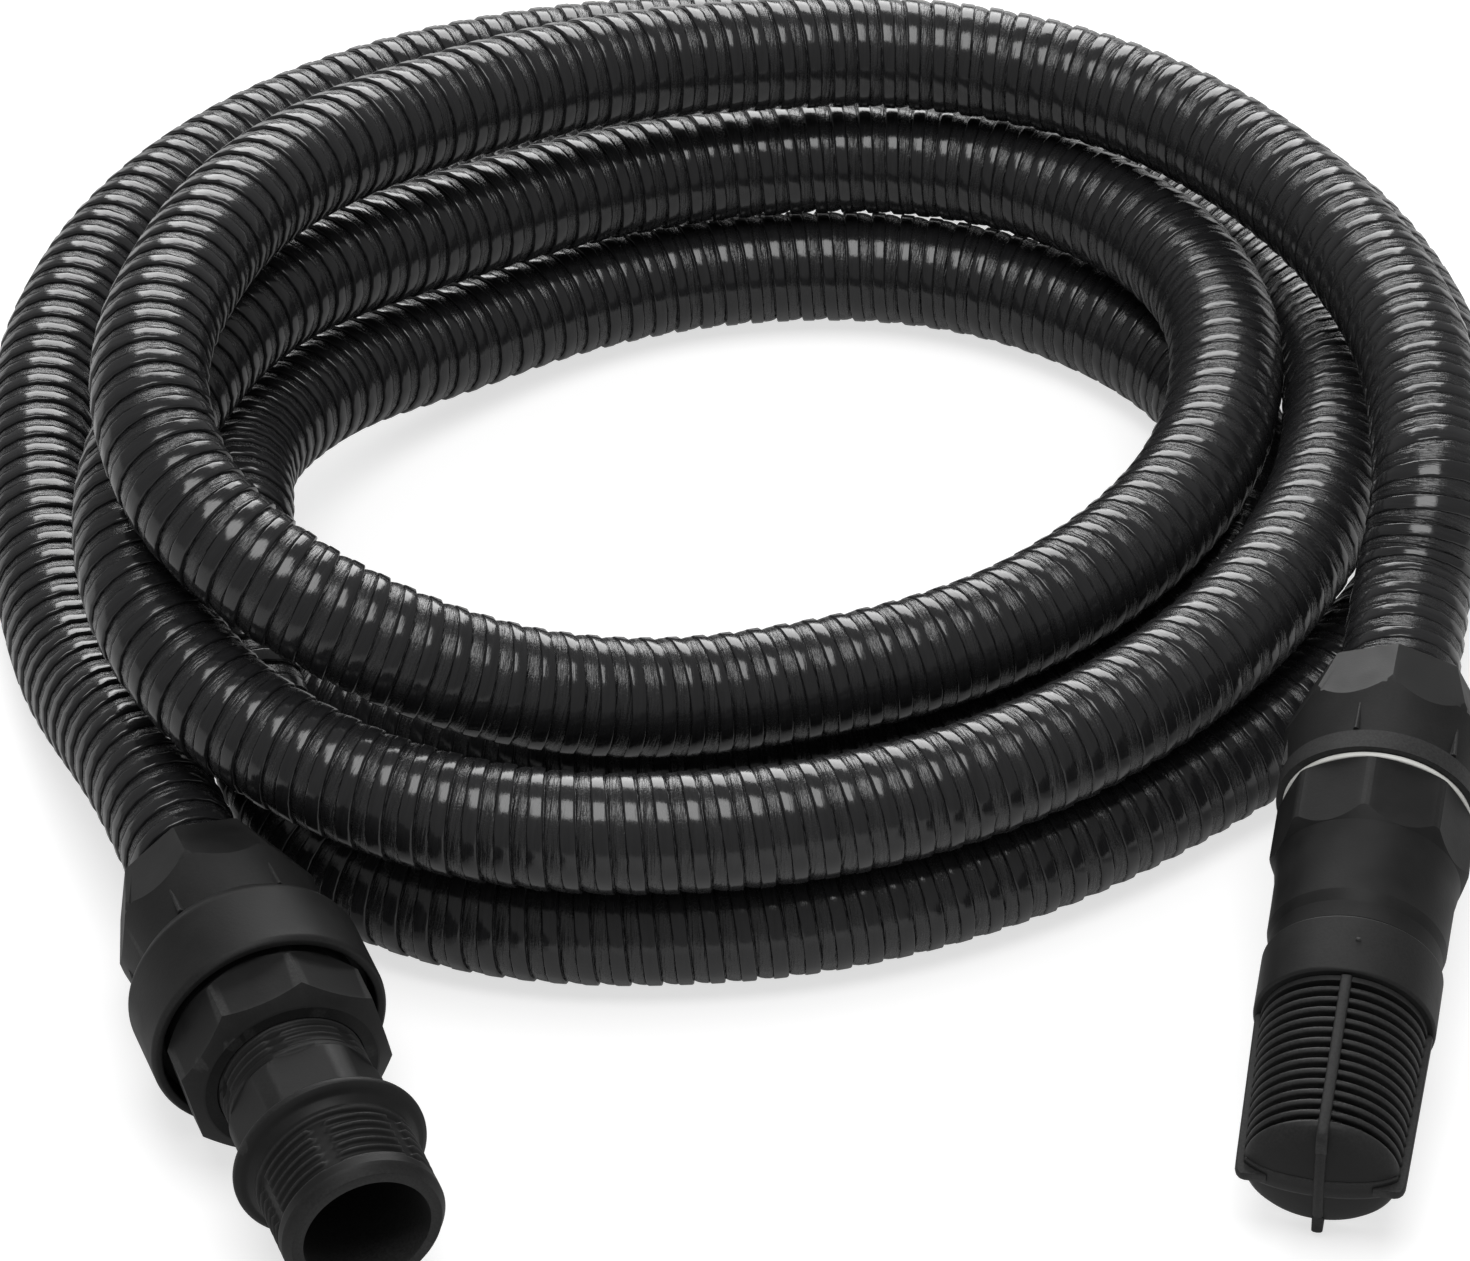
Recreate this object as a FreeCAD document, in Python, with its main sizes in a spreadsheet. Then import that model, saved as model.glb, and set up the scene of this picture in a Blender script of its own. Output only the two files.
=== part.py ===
import FreeCAD, Part
import math
import os
import re

import Sketcher

# A suction hose of ribbed plastic, laid down in a coil of four and a half turns.
# One end has a threaded pump union, the other a foot valve with a strainer basket.
# Frame: +Z up, the floor at Z = 0, the origin on the floor under the middle of the whole part.
# Each fitting is drawn about its own +Z axis, from the rim of its hose nut to its tip,
# and is then laid at its end of the hose.

SIZES = [
    ("hose_od", 25.0, "hose, over the ribs"),
    ("hose_valley_od", 23.4, "hose, between the ribs"),
    ("hose_bore", 19.0, "hose, inside"),
    ("hose_ribs", 58, "ribs along the whole hose"),
    ("rib_share", 0.52, "part of a pitch that the crest and its flanks take"),
    ("rib_flank", 1.5, "length of a rib's sloping flank"),
    ("lead_straight", 25.0, "hose that runs straight behind each nut"),
    ("running_gap", 0.1, "radial clearance of turning and sliding fits"),
    ("seat_gap", 0.1, "axial clearance between seated faces"),
    ("nut_length", 26.5, "hose nut, along the axis"),
    ("nut_od", 40.9, "hose nut, round skirt"),
    ("nut_rim_od", 34.4, "hose nut, rim round the hose"),
    ("nut_cone", 4.6, "hose nut, length of the cone behind the skirt"),
    ("nut_facets", 8, "hose nut, slanting facets round its back"),
    ("facet_start", 15.9, "hose nut, a facet's distance from the axis at the rim"),
    ("facet_end", 24.1, "hose nut, the facet's plane at the front, outside the skirt"),
    ("pump_facet_turn", 15.0, "pump end's nut, direction of a corner between facets"),
    ("suction_facet_turn", 0.0, "suction end's nut, direction of a corner between facets"),
    ("grip_count", 6, "hose nut, grip ridges"),
    ("grip_start", 14.5, "hose nut, from the rim to a grip"),
    ("grip_length", 11.7, "hose nut, length of a grip"),
    ("grip_width", 1.0, "hose nut, width of a grip"),
    ("grip_height", 0.6, "hose nut, height of a grip"),
    ("pump_grip_turn", 2.0, "pump end's nut, direction of a grip"),
    ("suction_grip_turn", 46.0, "suction end's nut, direction of a grip"),
    ("nut_lip", 4.0, "hose nut, depth of the lip behind the clamp ring"),
    ("nut_hose_gap", 0.5, "hose nut, radial gap to the hose"),
    ("clamp_length", 13.5, "clamp ring, along the axis"),
    ("clamp_od", 30.0, "clamp ring, outside"),
    ("clamp_hose_gap", 0.2, "clamp ring, radial gap to the hose"),
    ("clamp_slit", 2.0, "clamp ring, width of its slit"),
    ("hose_depth", 19.4, "hose, how far its end lies inside the nut"),
    ("washer_length", 0.9, "hose washer, thickness"),
    ("tail_bore", 15.0, "hose tail, waterway"),
    ("tail_hose_gap", 0.2, "hose tail, radial gap to the hose's bore"),
    ("tail_barb", 0.13, "hose tail, height of a barb"),
    ("tail_barb_pitch", 4.0, "hose tail, from barb to barb"),
    ("tail_barbs", 3, "hose tail, barbs"),
    ("tail_in_hose", 17.0, "hose tail, length inside the hose"),
    ("tail_thread_od", 32.8, "hose tail, thread under the nut"),
    ("tail_spigot_od", 24.0, "pump tail, spigot inside the collar"),
    ("tail_flange_od", 41.6, "suction tail, flange between nut and seal"),
    ("tail_flange", 4.4, "suction tail, thickness of that flange"),
    ("collar_gap", 0.4, "union collar, gap to the hose nut"),
    ("collar_back_od", 42.0, "union collar, back face"),
    ("collar_cone", 4.2, "union collar, length of the cone at its back"),
    ("collar_length", 19.6, "union collar, along the axis"),
    ("collar_floor", 9.0, "union collar, depth of its solid back"),
    ("collar_lip_bore", 44.6, "union collar, recess inside the front lip"),
    ("collar_lip_wall", 2.2, "union collar, wall of that lip and outside of the collar"),
    ("collar_lip_depth", 4.4, "union collar, depth of that recess"),
    ("gasket_length", 1.6, "union gasket, thickness"),
    ("gasket_bore", 22.0, "union gasket, inside"),
    ("union_flats", 37.6, "union nut, across flats"),
    ("union_turn", 20.0, "union nut, direction of a corner"),
    ("union_spigot_od", 40.0, "union nut, the part inside the collar"),
    ("union_spigot", 6.4, "union nut, length of that part"),
    ("union_hex", 14.2, "union nut, length of the hexagon"),
    ("union_front_od", 37.0, "union nut, front edge"),
    ("union_cone", 5.0, "union nut, length of the front cone"),
    ("nipple_flange_od", 35.0, "nipple, captive flange inside the union nut"),
    ("nipple_flange", 4.0, "nipple, thickness of that flange"),
    ("neck_od", 30.4, "nipple, neck"),
    ("neck_length", 30.0, "nipple, neck from the captive flange to the flats"),
    ("wrench_flats", 27.0, "nipple, across its two wrench flats"),
    ("wrench_length", 12.4, "nipple, length of the wrench flats"),
    ("stop_flange_od", 39.2, "nipple, flange behind the thread"),
    ("stop_flange", 2.6, "nipple, thickness of that flange"),
    ("thread_od", 33.25, "nipple, one inch pipe thread, outside"),
    ("thread_length", 21.5, "nipple, length of the thread"),
    ("thread_chamfer", 1.2, "nipple, chamfer at the tip"),
    ("nipple_bore", 25.8, "nipple, waterway"),
    ("seal_length", 1.2, "pale seal ring, thickness"),
    ("seal_od", 38.0, "pale seal ring, outside"),
    ("valve_spigot_od", 30.4, "suction tail, spigot inside the valve body"),
    ("valve_spigot", 11.6, "suction tail, length of that spigot"),
    ("valve_flats", 38.0, "valve body, across its eight flats"),
    ("valve_flat_length", 12.4, "valve body, length of the flats"),
    ("valve_waist_od", 37.2, "valve body, round part"),
    ("valve_end_od", 36.4, "valve body, at the strainer"),
    ("valve_length", 40.5, "valve body, along the axis"),
    ("valve_chamber", 28.0, "valve body, chamber round the poppet"),
    ("valve_socket", 13.0, "valve body, depth of the threaded socket"),
    ("seat_place", 29.5, "valve body, from its back face to the seat"),
    ("seat_length", 3.0, "valve seat, thickness"),
    ("seat_bore", 19.0, "valve seat, hole"),
    ("poppet_od", 24.0, "poppet, disc"),
    ("poppet_disc", 2.0, "poppet, thickness of the disc"),
    ("poppet_seal", 1.5, "poppet, thickness of its rubber face"),
    ("poppet_seal_bore", 10.0, "poppet, hole in the rubber face"),
    ("stem_od", 4.0, "poppet, stem"),
    ("stem_length", 15.0, "poppet, length of the stem"),
    ("spring_od", 11.0, "spring, outside"),
    ("spring_wire", 0.9, "spring, wire"),
    ("spring_turns", 3.0, "spring, turns"),
    ("guide_length", 3.0, "stem guide, thickness"),
    ("guide_wall", 2.2, "stem guide, wall of its rim"),
    ("guide_hub_od", 8.0, "stem guide, hub"),
    ("guide_arm", 2.4, "stem guide, width of an arm"),
    ("guide_place", 14.5, "stem guide, from the body's back face"),
    ("band_od", 36.6, "strainer band, outside"),
    ("band_length", 15.0, "strainer band, along the axis"),
    ("band_spigot_od", 30.4, "strainer band, spigot inside the valve body"),
    ("band_spigot", 6.0, "strainer band, length of that spigot"),
    ("band_bore", 26.4, "strainer band, inside"),
    ("cage_sleeve", 4.0, "basket, sleeve inside the band"),
    ("cage_bore", 23.6, "basket, inside"),
    ("cage_spine_od", 27.6, "basket, outside of the spines that join the rings"),
    ("cage_ring_bore", 28.6, "basket, inside of the rings between the spines"),
    ("cage_top_od", 33.4, "basket, first ring"),
    ("cage_end_od", 30.8, "basket, last ring"),
    ("cage_slots", 13, "basket, slots"),
    ("cage_slot", 1.1, "basket, width of a slot"),
    ("cage_ring", 1.25, "basket, width of a ring"),
    ("dome_length", 14.0, "basket, from the last slot to the end"),
    ("dome_shoulder", 4.0, "basket, straight part of the closed end"),
    ("fin_count", 4, "basket, fins"),
    ("fin_width", 1.8, "basket, thickness of a fin"),
    ("fin_top_od", 35.6, "basket, over the fins at the band"),
    ("fin_end_od", 34.0, "basket, over the fins at the end"),
    ("fin_past", 1.2, "basket, fins past the dome"),
]

# Where the two nut rims lie on the floor plan, and which way the fittings point.
PLACES = [
    ("pump_x", -108.3, "rim of the pump end's nut"),
    ("pump_y", -108.6, "rim of the pump end's nut"),
    ("pump_heading", -69.1, "way the pump end points, degrees from +X"),
    ("suction_x", 137.2, "rim of the suction end's nut"),
    ("suction_y", -67.4, "rim of the suction end's nut"),
    ("suction_height", 39.0, "rim of the suction end's nut"),
    ("suction_heading", -100.4, "way the foot valve points, degrees from +X"),
    ("suction_tilt", 10.1, "degrees that the foot valve slopes down"),
    ("coil_x", 0.0, "axis of the coil"),
    ("coil_y", 25.0, "axis of the coil"),
    ("frame_x", -1.98, "moves the whole part to its origin"),
    ("frame_y", 0.47, "moves the whole part to its origin"),
]

# The coil, wound clockwise from the pump end: degrees round the axis, reach from the axis, height.
STATIONS = [
    (556, 152.5, 12.6), (540, 154.5, 12.6), (495, 177, 12.6), (450, 177, 12.6), (405, 179, 12.6),
    (360, 156.5, 12.6), (315, 130, 12.6), (270, 132.5, 12.6), (247.5, 138, 12.8), (236, 140, 16),
    (225, 132.5, 27), (214, 124, 37.5), (202.5, 114, 39.8),
    (180, 107.5, 33), (135, 87, 19), (90, 89, 12.6), (45, 103, 12.6), (22.5, 110.5, 12.6),
    (0, 108, 12.6), (-45, 90, 12.6), (-90, 87, 12.6), (-135, 102, 12.6), (-157.5, 118.5, 12.6),
    (-180, 126, 12.6), (-225, 134, 12.6), (-270, 138, 12.6), (-315, 148, 13.5),
    (-337.5, 144, 24.5), (-360, 136, 35.5), (-405, 127.5, 39.5), (-450, 135, 39.5),
    (-472.5, 147, 45), (-495, 158, 58.5), (-517.5, 134, 62.3),
    (-540, 113, 59.4), (-585, 89, 46), (-630, 95.5, 39.3), (-675, 114, 39.3), (-697.5, 115, 39.3),
    (-720, 104, 39.3), (-765, 90, 39.5), (-810, 91.5, 41), (-832.5, 104, 51), (-855, 129, 75),
    (-866, 133, 86), (-877.5, 127.5, 90.3), (-900, 111, 86.6), (-945, 91, 74.5), (-990, 96, 66.5),
    (-1035, 127, 66), (-1057.5, 137, 65), (-1080, 146, 61.5), (-1095, 152.5, 57),
]
POINTS_PER_TURN = 72
CHORD_POINTS = 6
SPRING_SPANS = 12
EIGHT = 8
SIX = 6
DOME_ANGLES = (25, 45, 65)
WINDOW_ANGLES = (22.5, 45, 67.5)

doc = FreeCAD.newDocument("suction_hose")
sheet = doc.addObject("Spreadsheet::Sheet", "Sizes")
for row, (alias, value, note) in enumerate(SIZES + PLACES, start=1):
    sheet.set(f"A{row}", note)
    sheet.set(f"B{row}", str(value))
    sheet.setAlias(f"B{row}", alias)
doc.recompute()
ALIASES = {alias for alias, _, _ in SIZES + PLACES}


def bound(text):
    """Returns an expression in which every driving dimension is read from the sheet."""
    return re.sub(r"[a-z_]+", lambda m: "Sizes." + m[0] if m[0] in ALIASES else m[0], text)


def size(text):
    """Returns the number that an expression of driving dimensions gives now."""
    value = sheet.evalExpression(re.sub(r"Sizes\.", "", bound(text)))
    return float(getattr(value, "Value", value))


def new_body(label):
    body = doc.addObject("PartDesign::Body", label)
    body.Label = label
    return body


def outline(body, name, role, points):
    """Draws a closed outline on one of the body's own planes; each point is two expressions."""
    plane = [f for f in body.Origin.OriginFeatures if f.Role == role][0]
    sketch = body.newObject("Sketcher::SketchObject", name)
    sketch.AttachmentSupport = [(plane, "")]
    sketch.MapMode = "FlatFace"
    corners = [FreeCAD.Vector(size(a), size(b), 0) for a, b in points]
    for k, corner in enumerate(corners):
        sketch.addGeometry(Part.LineSegment(corner, corners[(k + 1) % len(corners)]), False)
    for k in range(len(corners)):
        sketch.addConstraint(Sketcher.Constraint("Coincident", k, 2, (k + 1) % len(corners), 1))
    for k, (across, along) in enumerate(points):
        for kind, text in (("DistanceX", across), ("DistanceY", along)):
            index = sketch.addConstraint(Sketcher.Constraint(kind, -1, 1, k, 1, size(text)))
            sketch.setExpression(f"Constraints[{index}]", bound(text))
    return sketch


def turned(body, name, points):
    """Turns an outline of (radius, place along the axis) about the fitting's axis."""
    sketch = outline(body, name + "_outline", "XZ_Plane", points)
    feature = body.newObject("PartDesign::Revolution", name)
    feature.Profile = sketch
    feature.ReferenceAxis = (sketch, ["V_Axis"])
    feature.Angle = 360
    return feature


def raised(body, name, points, start, length):
    """Pads an outline on the fitting's cross plane, from a place along the axis."""
    sketch = outline(body, name + "_outline", "XY_Plane", points)
    sketch.setExpression("AttachmentOffset.Base.z", bound(start))
    feature = body.newObject("PartDesign::Pad", name)
    feature.Profile = sketch
    feature.setExpression("Length", bound(length))
    return feature


def cut_through(body, name, points, start, length):
    """Cuts an outline out of the body, from a place along the axis towards the tip."""
    sketch = outline(body, name + "_outline", "XY_Plane", points)
    sketch.setExpression("AttachmentOffset.Base.z", bound(start))
    feature = body.newObject("PartDesign::Pocket", name)
    feature.Profile = sketch
    feature.Reversed = True
    feature.setExpression("Length", bound(length))
    return feature


def repeated(body, feature, count):
    """Repeats a feature evenly round the fitting's axis."""
    axis = [f for f in body.Origin.OriginFeatures if f.Role == "Z_Axis"][0]
    pattern = body.newObject("PartDesign::PolarPattern", feature.Name + "_ring")
    pattern.Originals = [feature]
    pattern.Axis = (axis, [""])
    pattern.Angle = 360
    pattern.setExpression("Occurrences", bound(count))
    body.Tip = pattern
    return pattern


def faceted(label, blank, sides, flats, start, length):
    """Keeps of a turned blank what lies inside a prism with the given width across flats."""
    prism = doc.addObject("Part::Prism", label + "_prism")
    prism.Polygon = sides
    prism.setExpression("Circumradius", bound(f"({flats}) / 2 / cos(180 deg / {sides})"))
    prism.setExpression("Height", bound(length))
    prism.setExpression("Placement.Base.z", bound(start))
    piece = doc.addObject("Part::Common", label)
    piece.Base = blank
    piece.Tool = prism
    piece.Label = label
    return piece


def rectangle(left, right, low, high):
    return [(left, low), (right, low), (right, high), (left, high)]


# Heights along a fitting's axis, measured from the rim of the hose nut.
TAIL_FACE = "hose_depth + seat_gap + washer_length + seat_gap"
COLLAR_BACK = "nut_length + collar_gap"
COLLAR_SEAT = f"{COLLAR_BACK} + collar_floor"
COLLAR_SIDE = "collar_lip_bore / 2 + collar_lip_wall"
NIPPLE_BACK = f"{COLLAR_SEAT} + gasket_length + seat_gap"
UNION_BACK = f"{COLLAR_SEAT} + seat_gap"
HEX_START = f"{UNION_BACK} + union_spigot"
HEX_END = f"{HEX_START} + union_hex"
NECK_START = f"{NIPPLE_BACK} + nipple_flange"
WRENCH_START = f"{NECK_START} + neck_length"
STOP_START = f"{WRENCH_START} + wrench_length"
THREAD_START = f"{STOP_START} + stop_flange"
PUMP_TIP = f"{THREAD_START} + thread_length"
FLANGE_START = "nut_length + seat_gap"
SEAL_START = f"{FLANGE_START} + tail_flange + seat_gap"
VALVE_BACK = f"{SEAL_START} + seal_length + seat_gap"
VALVE_FRONT = f"{VALVE_BACK} + valve_length"
SEAT_FACE = f"{VALVE_BACK} + seat_place"
GUIDE_START = f"{VALVE_BACK} + guide_place"
POPPET_SEAL_START = f"{SEAT_FACE} - poppet_seal"
POPPET_START = f"{POPPET_SEAL_START} - poppet_disc"
SPRING_START = f"{GUIDE_START} + guide_length"
BAND_START = f"{VALVE_FRONT} + seat_gap"
CAGE_START = f"{BAND_START} + band_length + seat_gap"


def octagon(flat, turn):
    """Corners of an octagon with that distance to its sides, one corner in the direction turn."""
    corners = []
    for k in range(int(size("nut_facets"))):
        angle = f"({turn} + {k} * 360 / nut_facets) * 1 deg"
        reach = f"({flat}) / cos(180 deg / nut_facets)"
        corners.append((f"{reach} * cos({angle})", f"{reach} * sin({angle})"))
    return corners


def hose_nut(label, end):
    """The nut that squeezes the clamp ring on to the hose.

    Its back is cut by eight slanting facets, which end in arcs on its round skirt. Six grips stand
    on the skirt.
    """
    blank = new_body(label + "_blank")
    pocket = "clamp_od / 2 + running_gap"
    thread = "tail_thread_od / 2 + running_gap"
    pocket_end = "nut_lip + clamp_length + 2 * seat_gap"
    turned(blank, label + "_turned", [
        ("hose_od / 2 + nut_hose_gap", "0"),
        ("nut_rim_od / 2", "0"),
        ("nut_od / 2", "nut_cone"),
        ("nut_od / 2", "nut_length"),
        (thread, "nut_length"),
        (thread, pocket_end),
        (pocket, pocket_end),
        (pocket, "nut_lip"),
        ("hose_od / 2 + nut_hose_gap", "nut_lip"),
    ])
    facets = new_body(label + "_facets")
    turn = f"{end}_facet_turn"
    rear = outline(facets, label + "_rear", "XY_Plane", octagon("facet_start", turn))
    front = outline(facets, label + "_front", "XY_Plane", octagon("facet_end", turn))
    front.setExpression("AttachmentOffset.Base.z", "Sizes.nut_length")
    taper = facets.newObject("PartDesign::AdditiveLoft", label + "_taper")
    taper.Profile = rear
    taper.Sections = [front]
    taper.Ruled = True
    nut = doc.addObject("Part::Common", label + "_nut")
    nut.Base = blank
    nut.Tool = facets

    grips = new_body(label + "_grips")
    low, high = "nut_od / 2 - grip_height", "nut_od / 2 + grip_height"
    turn = f"({end}_grip_turn * 1 deg)"
    corners = []
    for reach, side in ((low, "-1"), (high, "-1"), (high, "1"), (low, "1")):
        half = f"{side} * grip_width / 2"
        corners.append((f"({reach}) * cos{turn} - {half} * sin{turn}",
                        f"({reach}) * sin{turn} + {half} * cos{turn}"))
    grip = raised(grips, label + "_grip", corners, "grip_start", "grip_length")
    repeated(grips, grip, "grip_count")
    piece = doc.addObject("Part::Fuse", label)
    piece.Base = nut
    piece.Tool = grips
    piece.Label = label
    return piece


def clamp_ring(label):
    """The slit ring between the nut and the hose."""
    body = new_body(label)
    inner = "hose_od / 2 + clamp_hose_gap"
    start = "nut_lip + seat_gap"
    turned(body, label + "_turned", [
        (inner, start),
        ("clamp_od / 2", start),
        ("clamp_od / 2", f"{start} + clamp_length"),
        (inner, f"{start} + clamp_length"),
    ])
    cut_through(body, label + "_slit", rectangle("0", "clamp_od", "-clamp_slit / 2", "clamp_slit / 2"),
                start, "clamp_length")
    return body


def hose_washer(label):
    """The flat ring between the hose's cut end and the tail's shoulder."""
    body = new_body(label)
    start = "hose_depth + seat_gap"
    turned(body, label + "_turned", [
        ("hose_bore / 2 + running_gap", start),
        ("hose_valley_od / 2", start),
        ("hose_valley_od / 2", f"{start} + washer_length"),
        ("hose_bore / 2 + running_gap", f"{start} + washer_length"),
    ])
    return body


def tail_in_hose():
    """Points of a hose tail's barbed stem, from its mouth to its shoulder."""
    root = "hose_bore / 2 - tail_hose_gap"
    mouth = "hose_depth - tail_in_hose"
    points = [("tail_bore / 2", mouth), (root, mouth)]
    for k in range(int(size("tail_barbs"))):
        foot = f"{mouth} + {k + 1} * tail_barb_pitch"
        points.append((f"{root} + tail_barb", foot))
        points.append((root, foot))
    points.append((root, TAIL_FACE))
    return points


def pump_tail(label):
    body = new_body(label)
    spigot = "tail_spigot_od / 2"
    turned(body, label + "_turned", tail_in_hose() + [
        ("tail_thread_od / 2", TAIL_FACE),
        ("tail_thread_od / 2", f"{COLLAR_BACK} - seat_gap"),
        (spigot, f"{COLLAR_BACK} - seat_gap"),
        (spigot, f"{COLLAR_SEAT} - seat_gap"),
        ("tail_bore / 2", f"{COLLAR_SEAT} - seat_gap"),
    ])
    return body


def suction_tail(label):
    body = new_body(label)
    spigot = "valve_spigot_od / 2"
    turned(body, label + "_turned", tail_in_hose() + [
        ("tail_thread_od / 2", TAIL_FACE),
        ("tail_thread_od / 2", FLANGE_START),
        ("tail_flange_od / 2", FLANGE_START),
        ("tail_flange_od / 2", f"{FLANGE_START} + tail_flange"),
        (spigot, f"{FLANGE_START} + tail_flange"),
        (spigot, f"{VALVE_BACK} + valve_spigot"),
        ("tail_bore / 2", f"{VALVE_BACK} + valve_spigot"),
    ])
    return body


def union_collar(label):
    """The round housing whose lip stands round the union nut's hexagon."""
    body = new_body(label)
    front = f"{COLLAR_BACK} + collar_length"
    chamber = "union_spigot_od / 2 + running_gap"
    turned(body, label + "_turned", [
        ("tail_spigot_od / 2 + running_gap", COLLAR_BACK),
        ("collar_back_od / 2", COLLAR_BACK),
        (COLLAR_SIDE, f"{COLLAR_BACK} + collar_cone"),
        (COLLAR_SIDE, front),
        ("collar_lip_bore / 2", front),
        ("collar_lip_bore / 2", f"{front} - collar_lip_depth"),
        (chamber, f"{front} - collar_lip_depth"),
        (chamber, COLLAR_SEAT),
        ("tail_spigot_od / 2 + running_gap", COLLAR_SEAT),
    ])
    return body


def union_gasket(label):
    body = new_body(label)
    turned(body, label + "_turned", rectangle("gasket_bore / 2", "nipple_flange_od / 2",
                                              COLLAR_SEAT, f"{COLLAR_SEAT} + gasket_length"))
    return body


def union_nut(label):
    """The hexagon nut that holds the nipple's captive flange in the collar."""
    blank = new_body(label + "_blank")
    corner = f"union_flats / 2 / cos(180 deg / {SIX})"
    pocket = "nipple_flange_od / 2 + running_gap"
    neck = "neck_od / 2 + running_gap"
    turned(blank, label + "_turned", [
        (pocket, UNION_BACK),
        ("union_spigot_od / 2", UNION_BACK),
        ("union_spigot_od / 2", HEX_START),
        (corner, HEX_START),
        (corner, f"{HEX_END} - union_cone"),
        ("union_front_od / 2", HEX_END),
        (neck, HEX_END),
        (neck, f"{NECK_START} + seat_gap"),
        (pocket, f"{NECK_START} + seat_gap"),
    ])
    prism = doc.addObject("Part::Prism", label + "_prism")
    prism.Polygon = SIX
    prism.setExpression("Circumradius", bound(corner))
    prism.setExpression("Height", "Sizes.union_hex")
    prism.setExpression("Placement.Base.z", bound(HEX_START))
    prism.setExpression("Placement.Rotation.Angle", "Sizes.union_turn * 1 deg")
    spigot = doc.addObject("Part::Cylinder", label + "_spigot")
    spigot.setExpression("Radius", "Sizes.union_spigot_od / 2")
    spigot.setExpression("Height", "Sizes.union_spigot")
    spigot.setExpression("Placement.Base.z", bound(UNION_BACK))
    keep = doc.addObject("Part::Fuse", label + "_keep")
    keep.Base = prism
    keep.Tool = spigot
    piece = doc.addObject("Part::Common", label)
    piece.Base = blank
    piece.Tool = keep
    piece.Label = label
    return piece


def nipple(label):
    """The piece that screws into the pump: captive flange, neck, wrench flats, flange, thread."""
    body = new_body(label)
    turned(body, label + "_turned", [
        ("nipple_bore / 2", NIPPLE_BACK),
        ("nipple_flange_od / 2", NIPPLE_BACK),
        ("nipple_flange_od / 2", NECK_START),
        ("neck_od / 2", NECK_START),
        ("neck_od / 2", STOP_START),
        ("stop_flange_od / 2", STOP_START),
        ("stop_flange_od / 2", THREAD_START),
        ("thread_od / 2", THREAD_START),
        ("thread_od / 2", f"{PUMP_TIP} - thread_chamfer"),
        ("thread_od / 2 - thread_chamfer", PUMP_TIP),
        ("nipple_bore / 2", PUMP_TIP),
    ])
    flat = cut_through(body, label + "_flat",
                       rectangle("-neck_od", "neck_od", "wrench_flats / 2", "neck_od"),
                       WRENCH_START, "wrench_length")
    repeated(body, flat, "2")
    return body


def seal_ring(label):
    body = new_body(label)
    turned(body, label + "_turned", rectangle("valve_spigot_od / 2 + running_gap", "seal_od / 2",
                                              SEAL_START, f"{SEAL_START} + seal_length"))
    return body


def valve_body(label):
    """The foot valve's housing, eight flats at its back and a seat inside."""
    blank = new_body(label + "_blank")
    socket = "valve_spigot_od / 2 + running_gap"
    outlet = "band_spigot_od / 2 + running_gap"
    corner = f"valve_flats / 2 / cos(180 deg / {EIGHT})"
    flats_end = f"{VALVE_BACK} + valve_flat_length"
    turned(blank, label + "_turned", [
        (socket, VALVE_BACK),
        ("seal_od / 2", VALVE_BACK),
        (corner, f"{VALVE_BACK} + {corner} - seal_od / 2"),
        (corner, flats_end),
        ("valve_waist_od / 2", f"{flats_end} + {corner} - valve_waist_od / 2"),
        ("valve_end_od / 2", VALVE_FRONT),
        (outlet, VALVE_FRONT),
        (outlet, f"{SEAT_FACE} + seat_length"),
        ("seat_bore / 2", f"{SEAT_FACE} + seat_length"),
        ("seat_bore / 2", SEAT_FACE),
        ("valve_chamber / 2", SEAT_FACE),
        ("valve_chamber / 2", f"{VALVE_BACK} + valve_socket"),
        (socket, f"{VALVE_BACK} + valve_socket"),
    ])
    return faceted(label, blank, EIGHT, "valve_flats", VALVE_BACK, "valve_length")


def poppet(label):
    body = new_body(label)
    turned(body, label + "_turned", [
        ("0", f"{POPPET_START} - stem_length"),
        ("stem_od / 2", f"{POPPET_START} - stem_length"),
        ("stem_od / 2", POPPET_START),
        ("poppet_od / 2", POPPET_START),
        ("poppet_od / 2", f"{POPPET_START} + poppet_disc"),
        ("poppet_seal_bore / 2 - running_gap", f"{POPPET_START} + poppet_disc"),
        ("poppet_seal_bore / 2 - running_gap", f"{POPPET_SEAL_START} + poppet_seal"),
        ("0", f"{POPPET_SEAL_START} + poppet_seal"),
    ])
    return body


def poppet_seal(label):
    body = new_body(label)
    turned(body, label + "_turned", rectangle("poppet_seal_bore / 2", "poppet_od / 2",
                                              POPPET_SEAL_START, SEAT_FACE))
    return body


def stem_guide(label):
    """A rim, a hub and three arms: it holds the stem in line and the spring in place."""
    body = new_body(label)
    rim = "valve_chamber / 2 - running_gap"
    hole = "stem_od / 2 + running_gap"
    turned(body, label + "_rim", rectangle(f"{rim} - guide_wall", rim, GUIDE_START, SPRING_START))
    arm = raised(body, label + "_arm",
                 rectangle("guide_hub_od / 2 - guide_wall / 2", f"{rim} - guide_wall / 2",
                           "-guide_arm / 2", "guide_arm / 2"), GUIDE_START, "guide_length")
    repeated(body, arm, "3")
    turned(body, label + "_hub", rectangle(hole, "guide_hub_od / 2", GUIDE_START, SPRING_START))
    return body


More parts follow.
